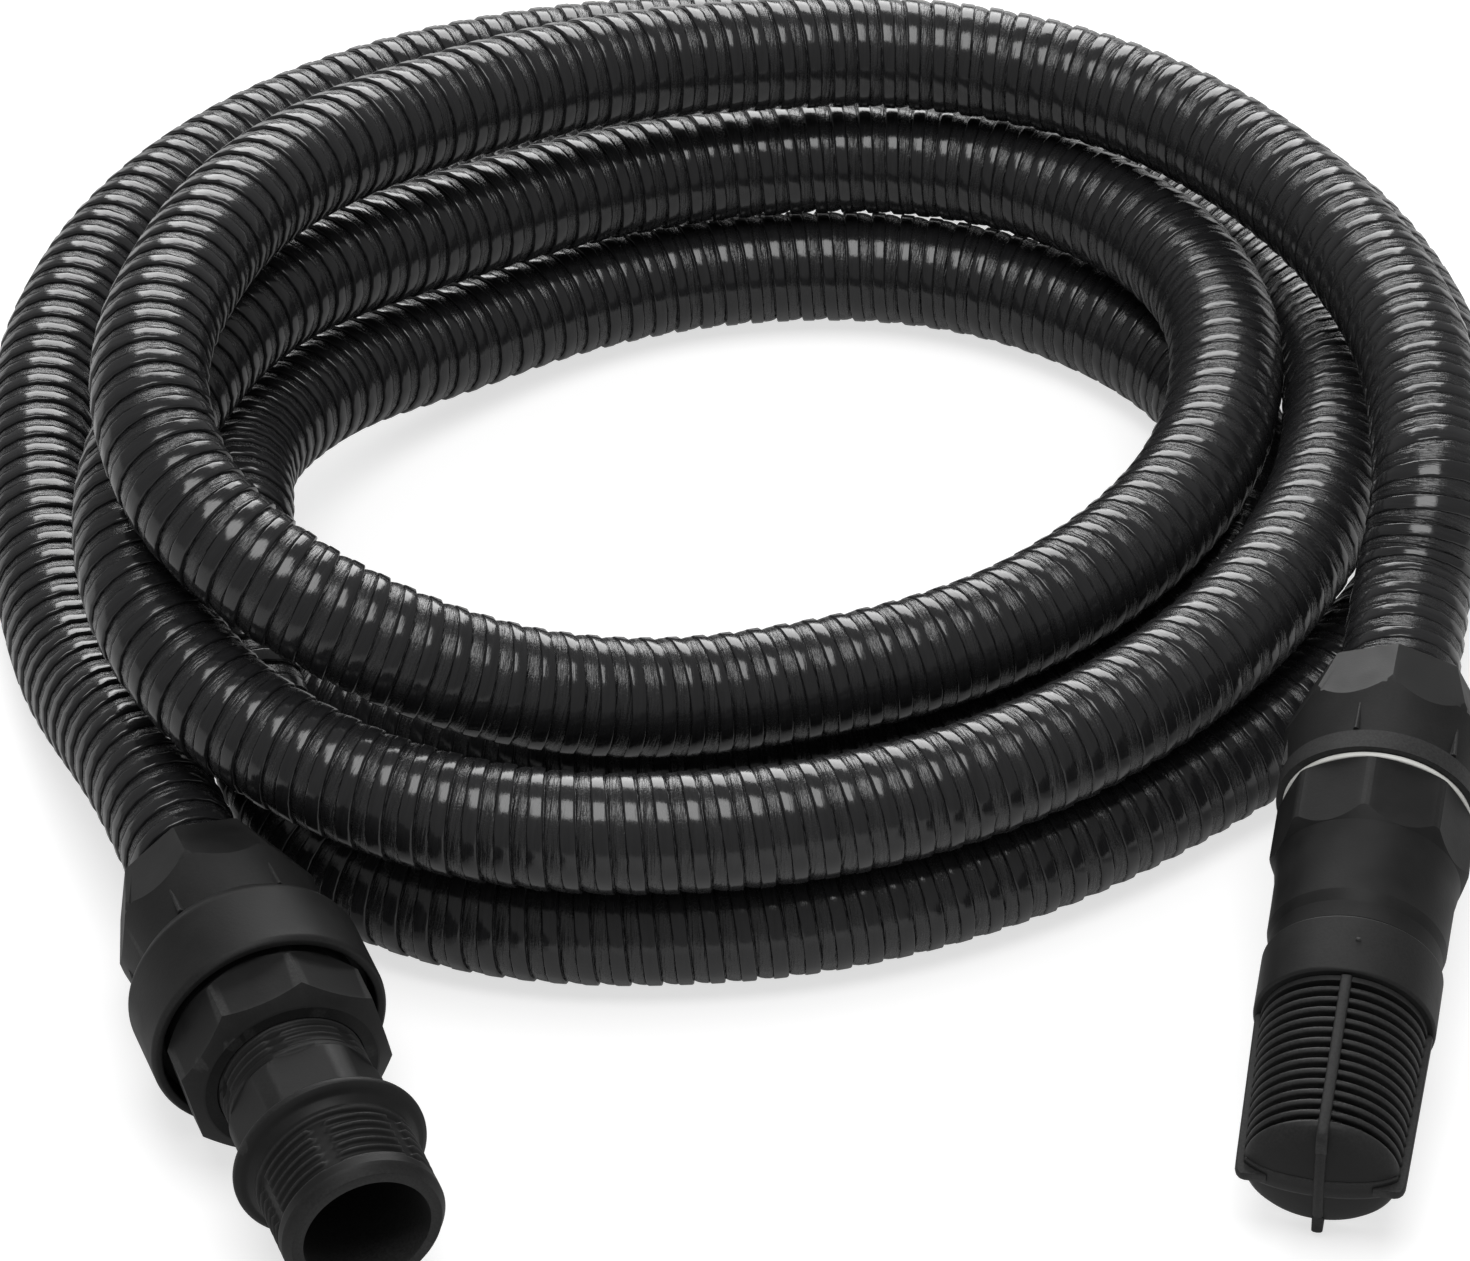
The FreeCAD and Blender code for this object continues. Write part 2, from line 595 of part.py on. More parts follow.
def spring(label):
    """A helix of square wire between the guide and the poppet's disc, in short straight spans."""
    wire, turns = size("spring_wire"), size("spring_turns")
    radius = size("(spring_od - spring_wire) / 2")
    low = size(f"{SPRING_START} + spring_wire / 2 + seat_gap")
    high = size(f"{POPPET_START} - spring_wire / 2 - seat_gap")
    spans = int(turns * SPRING_SPANS)
    sections = []
    for k in range(spans + 1):
        turn = 2 * math.pi * turns * k / spans
        out = FreeCAD.Vector(math.cos(turn), math.sin(turn), 0)
        middle = out * radius + FreeCAD.Vector(0, 0, low + (high - low) * k / spans)
        half, up = out * (wire / 2), FreeCAD.Vector(0, 0, wire / 2)
        corners = [middle - half - up, middle + half - up, middle + half + up, middle - half + up]
        sections.append(Part.makePolygon(corners + corners[:1]))
    piece = doc.addObject("Part::Feature", label)
    piece.Label = label
    piece.Shape = Part.makeLoft(sections, True, True)
    return piece


def strainer_band(label):
    body = new_body(label)
    turned(body, label + "_turned", [
        ("band_bore / 2", f"{BAND_START} - band_spigot"),
        ("band_spigot_od / 2", f"{BAND_START} - band_spigot"),
        ("band_spigot_od / 2", BAND_START),
        ("valve_end_od / 2", BAND_START),
        ("band_od / 2", f"{BAND_START} + (band_od - valve_end_od) / 2"),
        ("band_od / 2", f"{BAND_START} + band_length"),
        ("band_bore / 2", f"{BAND_START} + band_length"),
    ])
    return body


def strainer_basket(label):
    """Slotted rings on four spines, four fins outside them and a closed, domed end.

    The rings are the teeth of one turned comb. The comb's back is then cut away between the
    spines, so that every slot opens into the basket.
    """
    body = new_body(label)
    slots = int(size("cage_slots"))
    step = "(cage_slot + cage_ring)"
    comb_end = f"{CAGE_START} + cage_ring + cage_slots * {step}"
    sleeve = "band_bore / 2 - running_gap"
    points = [
        ("cage_bore / 2", f"{CAGE_START} - cage_sleeve"),
        (sleeve, f"{CAGE_START} - cage_sleeve"),
        (sleeve, CAGE_START),
    ]
    for k in range(slots + 1):
        outer = f"cage_top_od / 2 - (cage_top_od - cage_end_od) / 2 * {k} / cage_slots"
        low = f"{CAGE_START} + {k} * {step}"
        if k > 0:
            points.append(("cage_spine_od / 2", low))
        points.append((outer, low))
        if k < slots:
            points.append((outer, f"{low} + cage_ring"))
            points.append(("cage_spine_od / 2", f"{low} + cage_ring"))
    dome = "(dome_length - dome_shoulder)"
    shoulder = f"{comb_end} - cage_ring + dome_shoulder"
    points.append(("cage_end_od / 2", shoulder))
    for angle in DOME_ANGLES:
        points.append((f"cage_end_od / 2 * cos({angle} deg)", f"{shoulder} + {dome} * sin({angle} deg)"))
    points.append(("0", f"{shoulder} + {dome}"))
    points.append(("0", f"{shoulder} - dome_shoulder / 2"))
    points.append(("cage_bore / 2", f"{shoulder} - dome_shoulder / 2"))
    turned(body, label + "_comb", points)

    spine = "fin_width"
    reach = "cage_ring_bore / 2"
    window = [(spine, spine), (f"{reach} - fin_width / 10", spine)]
    for angle in WINDOW_ANGLES:
        window.append((f"{reach} * cos({angle} deg)", f"{reach} * sin({angle} deg)"))
    window.append((spine, f"{reach} - fin_width / 10"))
    cut = cut_through(body, label + "_window", window, f"{CAGE_START} + cage_ring",
                      f"cage_slots * {step} - cage_ring")
    repeated(body, cut, "fin_count")

    high = f"{comb_end} - cage_ring + dome_length"
    fin = outline(body, label + "_fin_outline", "XZ_Plane", [
        ("cage_spine_od / 2 - fin_width / 2", CAGE_START),
        ("fin_top_od / 2", CAGE_START),
        ("fin_end_od / 2", f"{shoulder} + {dome} / 3"),
        ("cage_end_od / 2 - fin_width", f"{high} + fin_past"),
        ("fin_width", f"{high} + fin_past"),
        ("fin_width", f"{high} - dome_length / 3"),
        ("cage_spine_od / 2 - fin_width / 2", f"{high} - dome_length / 3"),
    ])
    plate = body.newObject("PartDesign::Pad", label + "_fin")
    plate.Profile = fin
    plate.Midplane = True
    plate.setExpression("Length", "Sizes.fin_width")
    repeated(body, plate, "fin_count")
    return body


def direction(heading, tilt):
    """Unit vector that points the way a fitting points."""
    flat = math.cos(math.radians(tilt))
    return FreeCAD.Vector(flat * math.cos(math.radians(heading)),
                          flat * math.sin(math.radians(heading)), -math.sin(math.radians(tilt)))


def laid(rim, way):
    """Placement that lays a fitting with its rim and axis there, its local +X level."""
    side = FreeCAD.Vector(0, 0, 1).cross(way).normalize()
    return FreeCAD.Placement(rim, FreeCAD.Rotation(side, way.cross(side), way, "ZXY"))


def station_slopes(column):
    """Slope of reach or height at each station; a height never dips past its neighbours."""
    rates = []
    for (angle, *here), (after, *there) in zip(STATIONS, STATIONS[1:]):
        rates.append((there[column] - here[column]) / (after - angle))
    slopes = [rates[0]]
    for before, after in zip(rates, rates[1:]):
        if column == 0:
            slopes.append((before + after) / 2)
        else:
            slopes.append(2 * before * after / (before + after) if before * after > 0 else 0.0)
    return slopes + [rates[-1]]


SLOPES = [station_slopes(0), station_slopes(1)]


def coil_point(angle):
    """Point of the coil at an angle, by a smooth curve through the stations."""
    k = max(i for i in range(len(STATIONS) - 1) if STATIONS[i][0] >= angle)
    width = STATIONS[k + 1][0] - STATIONS[k][0]
    u = (angle - STATIONS[k][0]) / width
    values = []
    for column in range(2):
        here, there = STATIONS[k][column + 1], STATIONS[k + 1][column + 1]
        slope, next_slope = SLOPES[column][k], SLOPES[column][k + 1]
        values.append((2 * u**3 - 3 * u**2 + 1) * here + (u**3 - 2 * u**2 + u) * width * slope
                      + (3 * u**2 - 2 * u**3) * there + (u**3 - u**2) * width * next_slope)
    turn = math.radians(angle)
    return FreeCAD.Vector(size("coil_x + frame_x") + values[0] * math.cos(turn),
                          size("coil_y + frame_y") + values[0] * math.sin(turn), values[1])


def bridge(start, way, end, end_way, count=12):
    """Points of a smooth bend from one straight to the next, without its ends."""
    reach = start.distanceToPoint(end)
    points = []
    for k in range(1, count):
        u = k / count
        points.append(start * (2 * u**3 - 3 * u**2 + 1) + way * (reach * (u**3 - 2 * u**2 + u))
                      + end * (3 * u**2 - 2 * u**3) + end_way * (reach * (u**3 - u**2)))
    return points


def hose_route(pump_rim, pump_way, suction_rim, suction_way):
    """Centre line of the hose: straight, bend, coil, bend, straight."""
    depth, lead = size("hose_depth"), size("lead_straight")
    first, last = STATIONS[0][0], STATIONS[-1][0]
    step = 360 / POINTS_PER_TURN
    count = int((first - last) / step)
    coil = [coil_point(first - (first - last) * k / count) for k in range(count + 1)]
    leave = (coil[1] - coil[0]).normalize()
    arrive = (coil[-1] - coil[-2]).normalize()
    pump_lead = pump_rim - pump_way * lead
    suction_lead = suction_rim - suction_way * lead
    return ([pump_rim + pump_way * depth, pump_lead]
            + bridge(pump_lead, pump_way * -1, coil[0], leave) + coil
            + bridge(coil[-1], arrive, suction_lead, suction_way)
            + [suction_lead, suction_rim + suction_way * depth])


def along(route):
    """Returns the route's length and a function that gives (point, way) at a length along it."""
    marks = [0.0]
    for before, after in zip(route, route[1:]):
        marks.append(marks[-1] + before.distanceToPoint(after))

    def way_at(k):
        back, ahead = route[max(k - 1, 0)], route[min(k + 1, len(route) - 1)]
        if k in (0, 1):
            back, ahead = route[0], route[1]
        if k in (len(route) - 2, len(route) - 1):
            back, ahead = route[-2], route[-1]
        return (ahead - back).normalize()

    def locate(distance):
        k = max(i for i in range(len(route) - 1) if marks[i] <= distance + 1e-9)
        u = (distance - marks[k]) / (marks[k + 1] - marks[k])
        point = route[k] * (1 - u) + route[k + 1] * u
        return point, (way_at(k) * (1 - u) + way_at(k + 1) * u).normalize()

    return marks[-1], locate


def ring_wire(point, way, radius):
    """A circle round the hose, its start always on the level side."""
    side = FreeCAD.Vector(0, 0, 1).cross(way).normalize()
    edge = Part.Circle(FreeCAD.Vector(), FreeCAD.Vector(0, 0, 1), radius).toShape()
    edge.Placement = FreeCAD.Placement(point, FreeCAD.Rotation(side, way.cross(side), way, "ZXY"))
    return Part.Wire([edge])


def least_gap(centres, radius):
    """Least gap, and its place, between parts of the hose over three diameters apart along it."""
    points, marks, run = [], [], 0.0
    for before, after in zip(centres, centres[1:]):
        chord = before.distanceToPoint(after)
        pieces = max(1, int(chord / CHORD_POINTS))
        for k in range(pieces):
            points.append(before + (after - before) * (k / pieces))
            marks.append(run + chord * k / pieces)
        run += chord
    least, place = math.inf, points[0]
    for i, point in enumerate(points):
        for j in range(i + 1, len(points)):
            if marks[j] - marks[i] > 6 * radius:
                gap = point.distanceToPoint(points[j]) - 2 * radius
                if gap < least:
                    least, place = gap, point
    return least, place


def hose(label, route):
    """The hose: raised ribs on a thinner wall, drawn as one skin through circles, and its bore."""
    length, locate = along(route)
    ribs = int(size("hose_ribs"))
    crest, valley, bore = size("hose_od / 2"), size("hose_valley_od / 2"), size("hose_bore / 2")
    pitch = length / ribs
    half_valley = pitch * (1 - size("rib_share")) / 2
    flank = size("rib_flank")
    outer, inner, centres = [ring_wire(*locate(0.0), valley)], [ring_wire(*locate(0.0), bore)], []
    for k in range(ribs):
        start = k * pitch + half_valley
        end = (k + 1) * pitch - half_valley
        for distance, radius in ((start, valley), (start + flank, crest),
                                 (end - flank, crest), (end, valley)):
            outer.append(ring_wire(*locate(distance), radius))
            centres.append(locate(distance)[0])
        inner.append(ring_wire(*locate(start + flank), bore))
        inner.append(ring_wire(*locate(end), bore))
    outer.append(ring_wire(*locate(length), valley))
    inner.append(ring_wire(*locate(length), bore))
    print(f"hose length {length:.0f} mm, rib pitch {pitch:.1f} mm")
    gap, place = least_gap(centres, crest)
    print(f"least gap of the hose to itself {gap:.2f} mm, "
          f"near X {place.x:.0f} Y {place.y:.0f} Z {place.z:.0f}")
    skin = Part.makeLoft(outer, True, True)
    core = Part.makeLoft(inner, True, True)
    piece = doc.addObject("Part::Feature", label)
    piece.Label = label
    piece.Shape = skin.cut(core)
    return piece


def build():
    frame = FreeCAD.Vector(size("frame_x"), size("frame_y"), 0)
    pump_rim = FreeCAD.Vector(size("pump_x"), size("pump_y"), size(COLLAR_SIDE)) + frame
    pump_way = direction(size("pump_heading"), 0.0)
    suction_rim = FreeCAD.Vector(size("suction_x"), size("suction_y"), size("suction_height")) + frame
    suction_way = direction(size("suction_heading"), size("suction_tilt"))

    pump_end = [
        hose_nut("pump_hose_nut", "pump"), clamp_ring("pump_clamp_ring"), hose_washer("pump_hose_washer"),
        pump_tail("pump_hose_tail"), union_collar("union_collar"), union_gasket("union_gasket"),
        union_nut("union_nut"), nipple("pump_nipple"),
    ]
    suction_end = [
        hose_nut("suction_hose_nut", "suction"), clamp_ring("suction_clamp_ring"),
        hose_washer("suction_hose_washer"), suction_tail("suction_hose_tail"),
        seal_ring("seal_ring"), valve_body("valve_body"), stem_guide("stem_guide"),
        spring("valve_spring"), poppet("valve_poppet"), poppet_seal("poppet_seal"),
        strainer_band("strainer_band"), strainer_basket("strainer_basket"),
    ]
    doc.recompute()
    for piece in pump_end:
        piece.Placement = laid(pump_rim, pump_way)
    for piece in suction_end:
        piece.Placement = laid(suction_rim, suction_way)
    route = hose_route(pump_rim, pump_way, suction_rim, suction_way)
    return [hose("hose", route)] + pump_end + suction_end


pieces = build()
doc.recompute()
for thing in doc.Objects:
    if "Invalid" in thing.State or "Error" in thing.State:
        raise RuntimeError(f"{thing.Name} failed: {thing.State}")
for piece in pieces:
    if piece.Shape.isNull() or not piece.Shape.isValid() or len(piece.Shape.Solids) != 1:
        raise RuntimeError(f"{piece.Label} isn't one valid solid")
os.makedirs("parts", exist_ok=True)
for piece in pieces:
    piece.Shape.exportStep(f"parts/{piece.Label}.step")
whole = FreeCAD.BoundBox()
for piece in pieces:
    whole.add(piece.Shape.BoundBox)
print(f"{len(pieces)} pieces, X {whole.XMin:.2f} to {whole.XMax:.2f}, "
      f"Y {whole.YMin:.2f} to {whole.YMax:.2f}, Z {whole.ZMin:.2f} to {whole.ZMax:.2f}")
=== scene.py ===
import logging
import math
from collections.abc import Callable
from dataclasses import dataclass
from enum import Enum

import bmesh
import bpy
import numpy as np
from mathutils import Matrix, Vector


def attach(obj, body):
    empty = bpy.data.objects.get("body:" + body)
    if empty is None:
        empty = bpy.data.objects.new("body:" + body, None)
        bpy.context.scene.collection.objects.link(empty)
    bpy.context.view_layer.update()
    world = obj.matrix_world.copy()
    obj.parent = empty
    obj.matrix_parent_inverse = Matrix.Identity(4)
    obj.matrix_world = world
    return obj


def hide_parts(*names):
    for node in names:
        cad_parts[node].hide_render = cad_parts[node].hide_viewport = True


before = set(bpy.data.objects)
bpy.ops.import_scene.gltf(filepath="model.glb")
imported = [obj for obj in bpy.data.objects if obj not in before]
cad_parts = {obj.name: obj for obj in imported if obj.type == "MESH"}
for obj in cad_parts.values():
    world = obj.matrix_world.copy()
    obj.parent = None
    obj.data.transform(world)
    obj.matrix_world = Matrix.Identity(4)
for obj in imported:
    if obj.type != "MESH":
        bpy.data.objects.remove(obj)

# Dresses the coiled suction hose: ribbed PVC hose, pump union at one end, foot valve at the other.
# Shapes are worked out in millimetres and put into the meshes in metres.

LOG = logging.getLogger("suction_hose")
MM = 0.001
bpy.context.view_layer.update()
# From the frame in which the route was measured to the part's own, millimetres.
FRAME_SHIFT = np.array([-1.98, 0.47, 0.0])
UP = np.array([0.0, 0.0, 1.0])
# Points closer than the first are merged, faces narrower than the second are dropped.
MERGE_MM, SLIVER_MM = 0.004, 0.002
# Edges sharper than the first are rounded, edges sharper than the second shade as edges.
ROUNDED_ANGLE, SHARP_ANGLE = 20.0, 8.0
# Nearly all of a noise lies between these values.
NOISE_LOW, NOISE_HIGH = 0.3, 0.7
# Pointiness where an edge begins to look rubbed and to carry a painted highlight, and where it is
# fully so.
EDGE_LOW, EDGE_HIGH = 0.505, 0.56
COAT_ROUGHNESS = 0.05
# Lengths below this count as nothing in an outline, millimetres.
TOUCH = 1e-6
# The most of a side that the rounding of a corner may take.
SIDE_SHARE = 0.4
# Points round the axis of a faceted piece, a collar or band, a seal or sleeve, a basket's ring.
FACETED, TURNED, SMALL, SLENDER = 144, 112, 96, 80

Outline = list[tuple[float, float]]
Relief = Callable[[np.ndarray, np.ndarray, np.ndarray], np.ndarray]


# nodes and colours

def linear(code: str) -> tuple[float, float, float, float]:
    """Turns an sRGB hex colour to linear.

    Args:
        code: the colour as #rrggbb.

    Returns:
        Linear red, green, blue and an alpha of 1.
    """
    parts = np.array([int(code[k:k + 2], 16) for k in (1, 3, 5)]) / 255.0
    parts = np.where(parts <= 0.04045, parts / 12.92, ((parts + 0.055) / 1.055) ** 2.4)
    return (float(parts[0]), float(parts[1]), float(parts[2]), 1.0)


def add_node(tree: bpy.types.NodeTree, kind: str, values: dict | None = None,
             links: dict | None = None, **settings: object) -> bpy.types.Node:
    """Adds a node with its settings, its socket values and its incoming links.

    Args:
        tree: the node tree.
        kind: the node's type name.
        values: socket name or index and the constant set on it.
        links: socket name or index and the output socket joined to it.
        settings: attributes of the node.

    Returns:
        The new node.
    """
    node = tree.nodes.new(kind)
    for name, value in settings.items():
        setattr(node, name, value)
    for socket, value in (values or {}).items():
        node.inputs[socket].default_value = value
    for socket, source in (links or {}).items():
        tree.links.new(source, node.inputs[socket])
    return node


def new_material(name: str) -> tuple[bpy.types.Material, bpy.types.NodeTree]:
    """Makes an empty node material.

    Args:
        name: the material's name.

    Returns:
        The material and its cleared node tree.
    """
    material = bpy.data.materials.new(name)
    material.use_nodes = True
    material.node_tree.nodes.clear()
    return material, material.node_tree


@dataclass(frozen=True)
class Plastic:
    """A moulded plastic or rubber: two close tones, a grain and a soft unevenness.

    Sizes are in millimetres on Object coordinates. The grain of such a mould is about 0.1 mm;
    it is drawn coarser so that it shows.
    """

    name: str
    tone: str
    second_tone: str
    roughness: float
    second_roughness: float
    broad_mm: float = 9.0
    broad_height_mm: float = 0.05
    fine_mm: float = 0.55
    fine_height_mm: float = 0.02
    ior: float = 1.5
    specular: float = 0.5
    coat: float = 0.0
    edge_wear_and_highlight_tone: str = ""
    tone_span: tuple[float, float] = (0.35, 0.65)

    def noises(self, tree: bpy.types.NodeTree) -> tuple[bpy.types.NodeSocket, ...]:
        """Adds the patterns: a cloudy noise and a fine grain.

        Args:
            tree: the material's node tree.

        Returns:
            The broad noise, the fine noise, and the one of them that varies the gloss.
        """
        place = add_node(tree, "ShaderNodeTexCoord")
        cloud = add_node(tree, "ShaderNodeTexNoise",
                         {"Scale": 1.0 / (self.broad_mm * MM), "Detail": 4.0, "Roughness": 0.6},
                         {"Vector": place.outputs["Object"]})
        grain = add_node(tree, "ShaderNodeTexNoise",
                         {"Scale": 1.0 / (self.fine_mm * MM), "Detail": 2.0},
                         {"Vector": place.outputs["Object"]})
        return cloud.outputs["Fac"], grain.outputs["Fac"], cloud.outputs["Fac"]

    def material(self) -> bpy.types.Material:
        """Builds the material: the broad noise mixes the tones and both noises bump it.

        Returns:
            The material; with an edge tone, its edges are painted lighter: part rubbed wear, part
            painted highlight.
        """
        material, tree = new_material(self.name)
        broad, fine, glossed = self.noises(tree)
        tones = add_node(tree, "ShaderNodeValToRGB", links={"Fac": broad})
        stops = tones.color_ramp.elements
        for k, tone in enumerate((self.tone, self.second_tone)):
            stops[k].position = self.tone_span[k]
            stops[k].color = linear(tone)
        colour = tones.outputs["Color"]
        # Edges painted lighter: part rubbed wear, part a painted highlight such as a rounded edge
        # catches.
        if self.edge_wear_and_highlight_tone:
            shape = add_node(tree, "ShaderNodeNewGeometry")
            edge = add_node(tree, "ShaderNodeMapRange",
                            {"From Min": EDGE_LOW, "From Max": EDGE_HIGH},
                            {"Value": shape.outputs["Pointiness"]})
            rubbed_and_highlighted = add_node(tree, "ShaderNodeMath", links={0: edge.outputs["Result"], 1: fine},
                              operation="MULTIPLY")
            worn_and_highlighted = add_node(tree, "ShaderNodeMix", {7: linear(self.edge_wear_and_highlight_tone)},
                            {0: rubbed_and_highlighted.outputs["Value"], 6: colour}, data_type="RGBA")
            colour = worn_and_highlighted.outputs[2]
        gloss = add_node(tree, "ShaderNodeMapRange",
                         {"From Min": NOISE_LOW, "From Max": NOISE_HIGH,
                          "To Min": self.roughness, "To Max": self.second_roughness},
                         {"Value": glossed})
        wave = add_node(tree, "ShaderNodeBump",
                        {"Strength": 1.0, "Distance": self.broad_height_mm * MM}, {"Height": broad})
        bump = add_node(tree, "ShaderNodeBump",
                        {"Strength": 1.0, "Distance": self.fine_height_mm * MM},
                        {"Height": fine, "Normal": wave.outputs["Normal"]})
        shader = add_node(tree, "ShaderNodeBsdfPrincipled",
                          {"IOR": self.ior, "Specular IOR Level": self.specular,
                           "Coat Weight": self.coat, "Coat Roughness": COAT_ROUGHNESS},
                          {"Base Color": colour, "Roughness": gloss.outputs["Result"],
                           "Normal": bump.outputs["Normal"]})
        add_node(tree, "ShaderNodeOutputMaterial", links={"Surface": shader.outputs["BSDF"]})
        return material


@dataclass(frozen=True)
class Extruded(Plastic):
    """Extruded PVC of the hose, with fine lines drawn round it by the die and by winding.

    The pattern reads the attribute "unrolled": the point on the hose as if it lay straight along
    its own axis, in metres, so a line follows the hose round every bend. Here the broad size is
    the spacing of the lines, and the fine one that of small specks.
    """

    ior: float = 1.53
    tone_span: tuple[float, float] = (0.3, 0.7)
    stretch_mm: float = 14.0

    def noises(self, tree: bpy.types.NodeTree) -> tuple[bpy.types.NodeSocket, ...]:
        """Adds the patterns: a noise drawn out round the hose for the lines, a fine one for specks.

        Args:
            tree: the material's node tree.

        Returns:
            The lines, the specks, and the specks again for the gloss.
        """
        place = add_node(tree, "ShaderNodeAttribute", attribute_name="unrolled")
        drawn = add_node(tree, "ShaderNodeMapping", links={"Vector": place.outputs["Vector"]})
        long, short = 1.0 / (self.stretch_mm * MM), 1.0 / (self.broad_mm * MM)
        drawn.inputs["Scale"].default_value = (long, long, short)
        lines = add_node(tree, "ShaderNodeTexNoise",
                         {"Scale": 1.0, "Detail": 3.0, "Roughness": 0.6},
                         {"Vector": drawn.outputs["Vector"]})
        specks = add_node(tree, "ShaderNodeTexNoise",
                          {"Scale": 1.0 / (self.fine_mm * MM), "Detail": 2.0},
                          {"Vector": place.outputs["Vector"]})
        return lines.outputs["Fac"], specks.outputs["Fac"], specks.outputs["Fac"]


@dataclass(frozen=True)
class DrawnSteel:
    """Drawn spring wire of stainless steel: bright, with fine lines along the wire."""

    name: str = "stainless_spring_wire_drawn"
    tone: str = "#c9c8c4"
    roughness: float = 0.16
    second_roughness: float = 0.36
    line_mm: float = 0.3
    line_height_mm: float = 0.01

    def material(self) -> bpy.types.Material:
        """Builds the material: a metal whose roughness varies with a fine noise.

        Returns:
            The material.
        """
        material, tree = new_material(self.name)
        place = add_node(tree, "ShaderNodeTexCoord")
        grain = add_node(tree, "ShaderNodeTexNoise",
                         {"Scale": 1.0 / (self.line_mm * MM), "Detail": 3.0},
                         {"Vector": place.outputs["Object"]})
        gloss = add_node(tree, "ShaderNodeMapRange",
                         {"To Min": self.roughness, "To Max": self.second_roughness},
                         {"Value": grain.outputs["Fac"]})
        bump = add_node(tree, "ShaderNodeBump",
                        {"Strength": 1.0, "Distance": self.line_height_mm * MM},
                        {"Height": grain.outputs["Fac"]})
        shader = add_node(tree, "ShaderNodeBsdfPrincipled",
                          {"Base Color": linear(self.tone), "Metallic": 1.0},
                          {"Roughness": gloss.outputs["Result"], "Normal": bump.outputs["Normal"]})
        add_node(tree, "ShaderNodeOutputMaterial", links={"Surface": shader.outputs["BSDF"]})
        return material


class Finish(Enum):
    """The finishes of the part, each named for its material and how its surface was made."""

    # Polished by the die: black gloss, with a sharp highlight on every turn.
    RIB = Extruded("rigid_pvc_rib_gloss_extruded", "#1e1e1f", "#262627", 0.10, 0.20,
                   0.8, 0.06, 0.5, 0.012)
    # Soft, drawn out between the ribs: fine lines round the hose break the highlights up.
    WEB = Extruded("flexible_pvc_web_drawn_extruded", "#1c1c1d", "#2b2b2c", 0.18, 0.32,
                   0.8, 0.7, 0.5, 0.05, coat=0.1)
    # Satin: the dull bottom of the groove between rib and web.
    WALL = Extruded("flexible_pvc_wall_satin_extruded", "#262628", "#343436", 0.34, 0.48,
                    0.35, 0.05, 0.4, 0.03)
    # From a finely etched mould: a soft charcoal, painted lighter along its edges: part rubbed
    # wear, part painted highlight.
    FITTING = Plastic("polypropylene_black_moulded", "#1b1b1b", "#212121", 0.44, 0.54,
                      edge_wear_and_highlight_tone="#404040", specular=0.17)
    # From a smooth mould: an even mid grey.
    INNER = Plastic("acetal_grey_moulded", "#5c5d60", "#66676a", 0.32, 0.40,
                    fine_height_mm=0.008)
    # Pressed: dull and nearly black.
    RUBBER = Plastic("nitrile_rubber_pressed", "#1a1a1b", "#202021", 0.62, 0.75,
                     fine_height_mm=0.03)
    # From a smooth mould: a pale line between two black pieces.
    SEAL = Plastic("silicone_pale_moulded", "#e9e9e5", "#dfdfda", 0.40, 0.50,
                   fine_height_mm=0.01, ior=1.41)
    # Drawn: bright metal with fine streaks.
    STEEL = DrawnSteel()


MATERIALS = {finish: finish.value.material() for finish in Finish}


# meshes

@dataclass
class Shell:
    """Points in millimetres and quads between them; a quad may fold to a triangle at a pole."""

    points: np.ndarray
    quads: np.ndarray

    def __add__(self, other: "Shell") -> "Shell":
        """Puts two shells side by side in one."""
        return Shell(np.vstack([self.points, other.points]),
                     np.vstack([self.quads, other.quads + len(self.points)]))


def grid_quads(rows: int, columns: int, close_rows: bool, close_columns: bool) -> np.ndarray:
    """Quads between the points of a grid stored row by row.

    Args:
        rows: rows of points.
        columns: points in a row.
        close_rows: whether the last row joins the first.
        close_columns: whether a row's last point joins its first.

    Returns:
        Point numbers, four to a quad.
    """
    i = np.arange(rows if close_rows else rows - 1)[:, None]
    j = np.arange(columns if close_columns else columns - 1)[None, :]
    after, beside = (i + 1) % rows, (j + 1) % columns
    return np.stack([i * columns + j, i * columns + beside, after * columns + beside,
                     after * columns + j], axis=-1).reshape(-1, 4)


def soften(outline: Outline, radius: float, closed: bool = True) -> Outline:
    """Rounds an outline's corners: each corner becomes three points of a parabola through it.

    Args:
        outline: (radius, height) points.
        radius: length taken from each side of a corner, less on short sides.
        closed: whether the last point joins the first.

    Returns:
        The rounded outline; a point on the axis stays as it is.
    """
    result: Outline = []
    ends = () if closed else (0, len(outline) - 1)
    for k, corner in enumerate(outline):
        here = np.array(corner)
        back = np.array(outline[k - 1]) - here
        ahead = np.array(outline[(k + 1) % len(outline)]) - here
        spans = np.linalg.norm(back), np.linalg.norm(ahead)
        if k in ends or min(corner[0], *spans) < TOUCH:
            result.append(corner)
            continue
        first = here + back / spans[0] * min(radius, SIDE_SHARE * spans[0])
        last = here + ahead / spans[1] * min(radius, SIDE_SHARE * spans[1])
        middle = 0.25 * first + 0.5 * here + 0.25 * last
        result += [(float(r), float(z)) for r, z in (first, middle, last)]
    return result


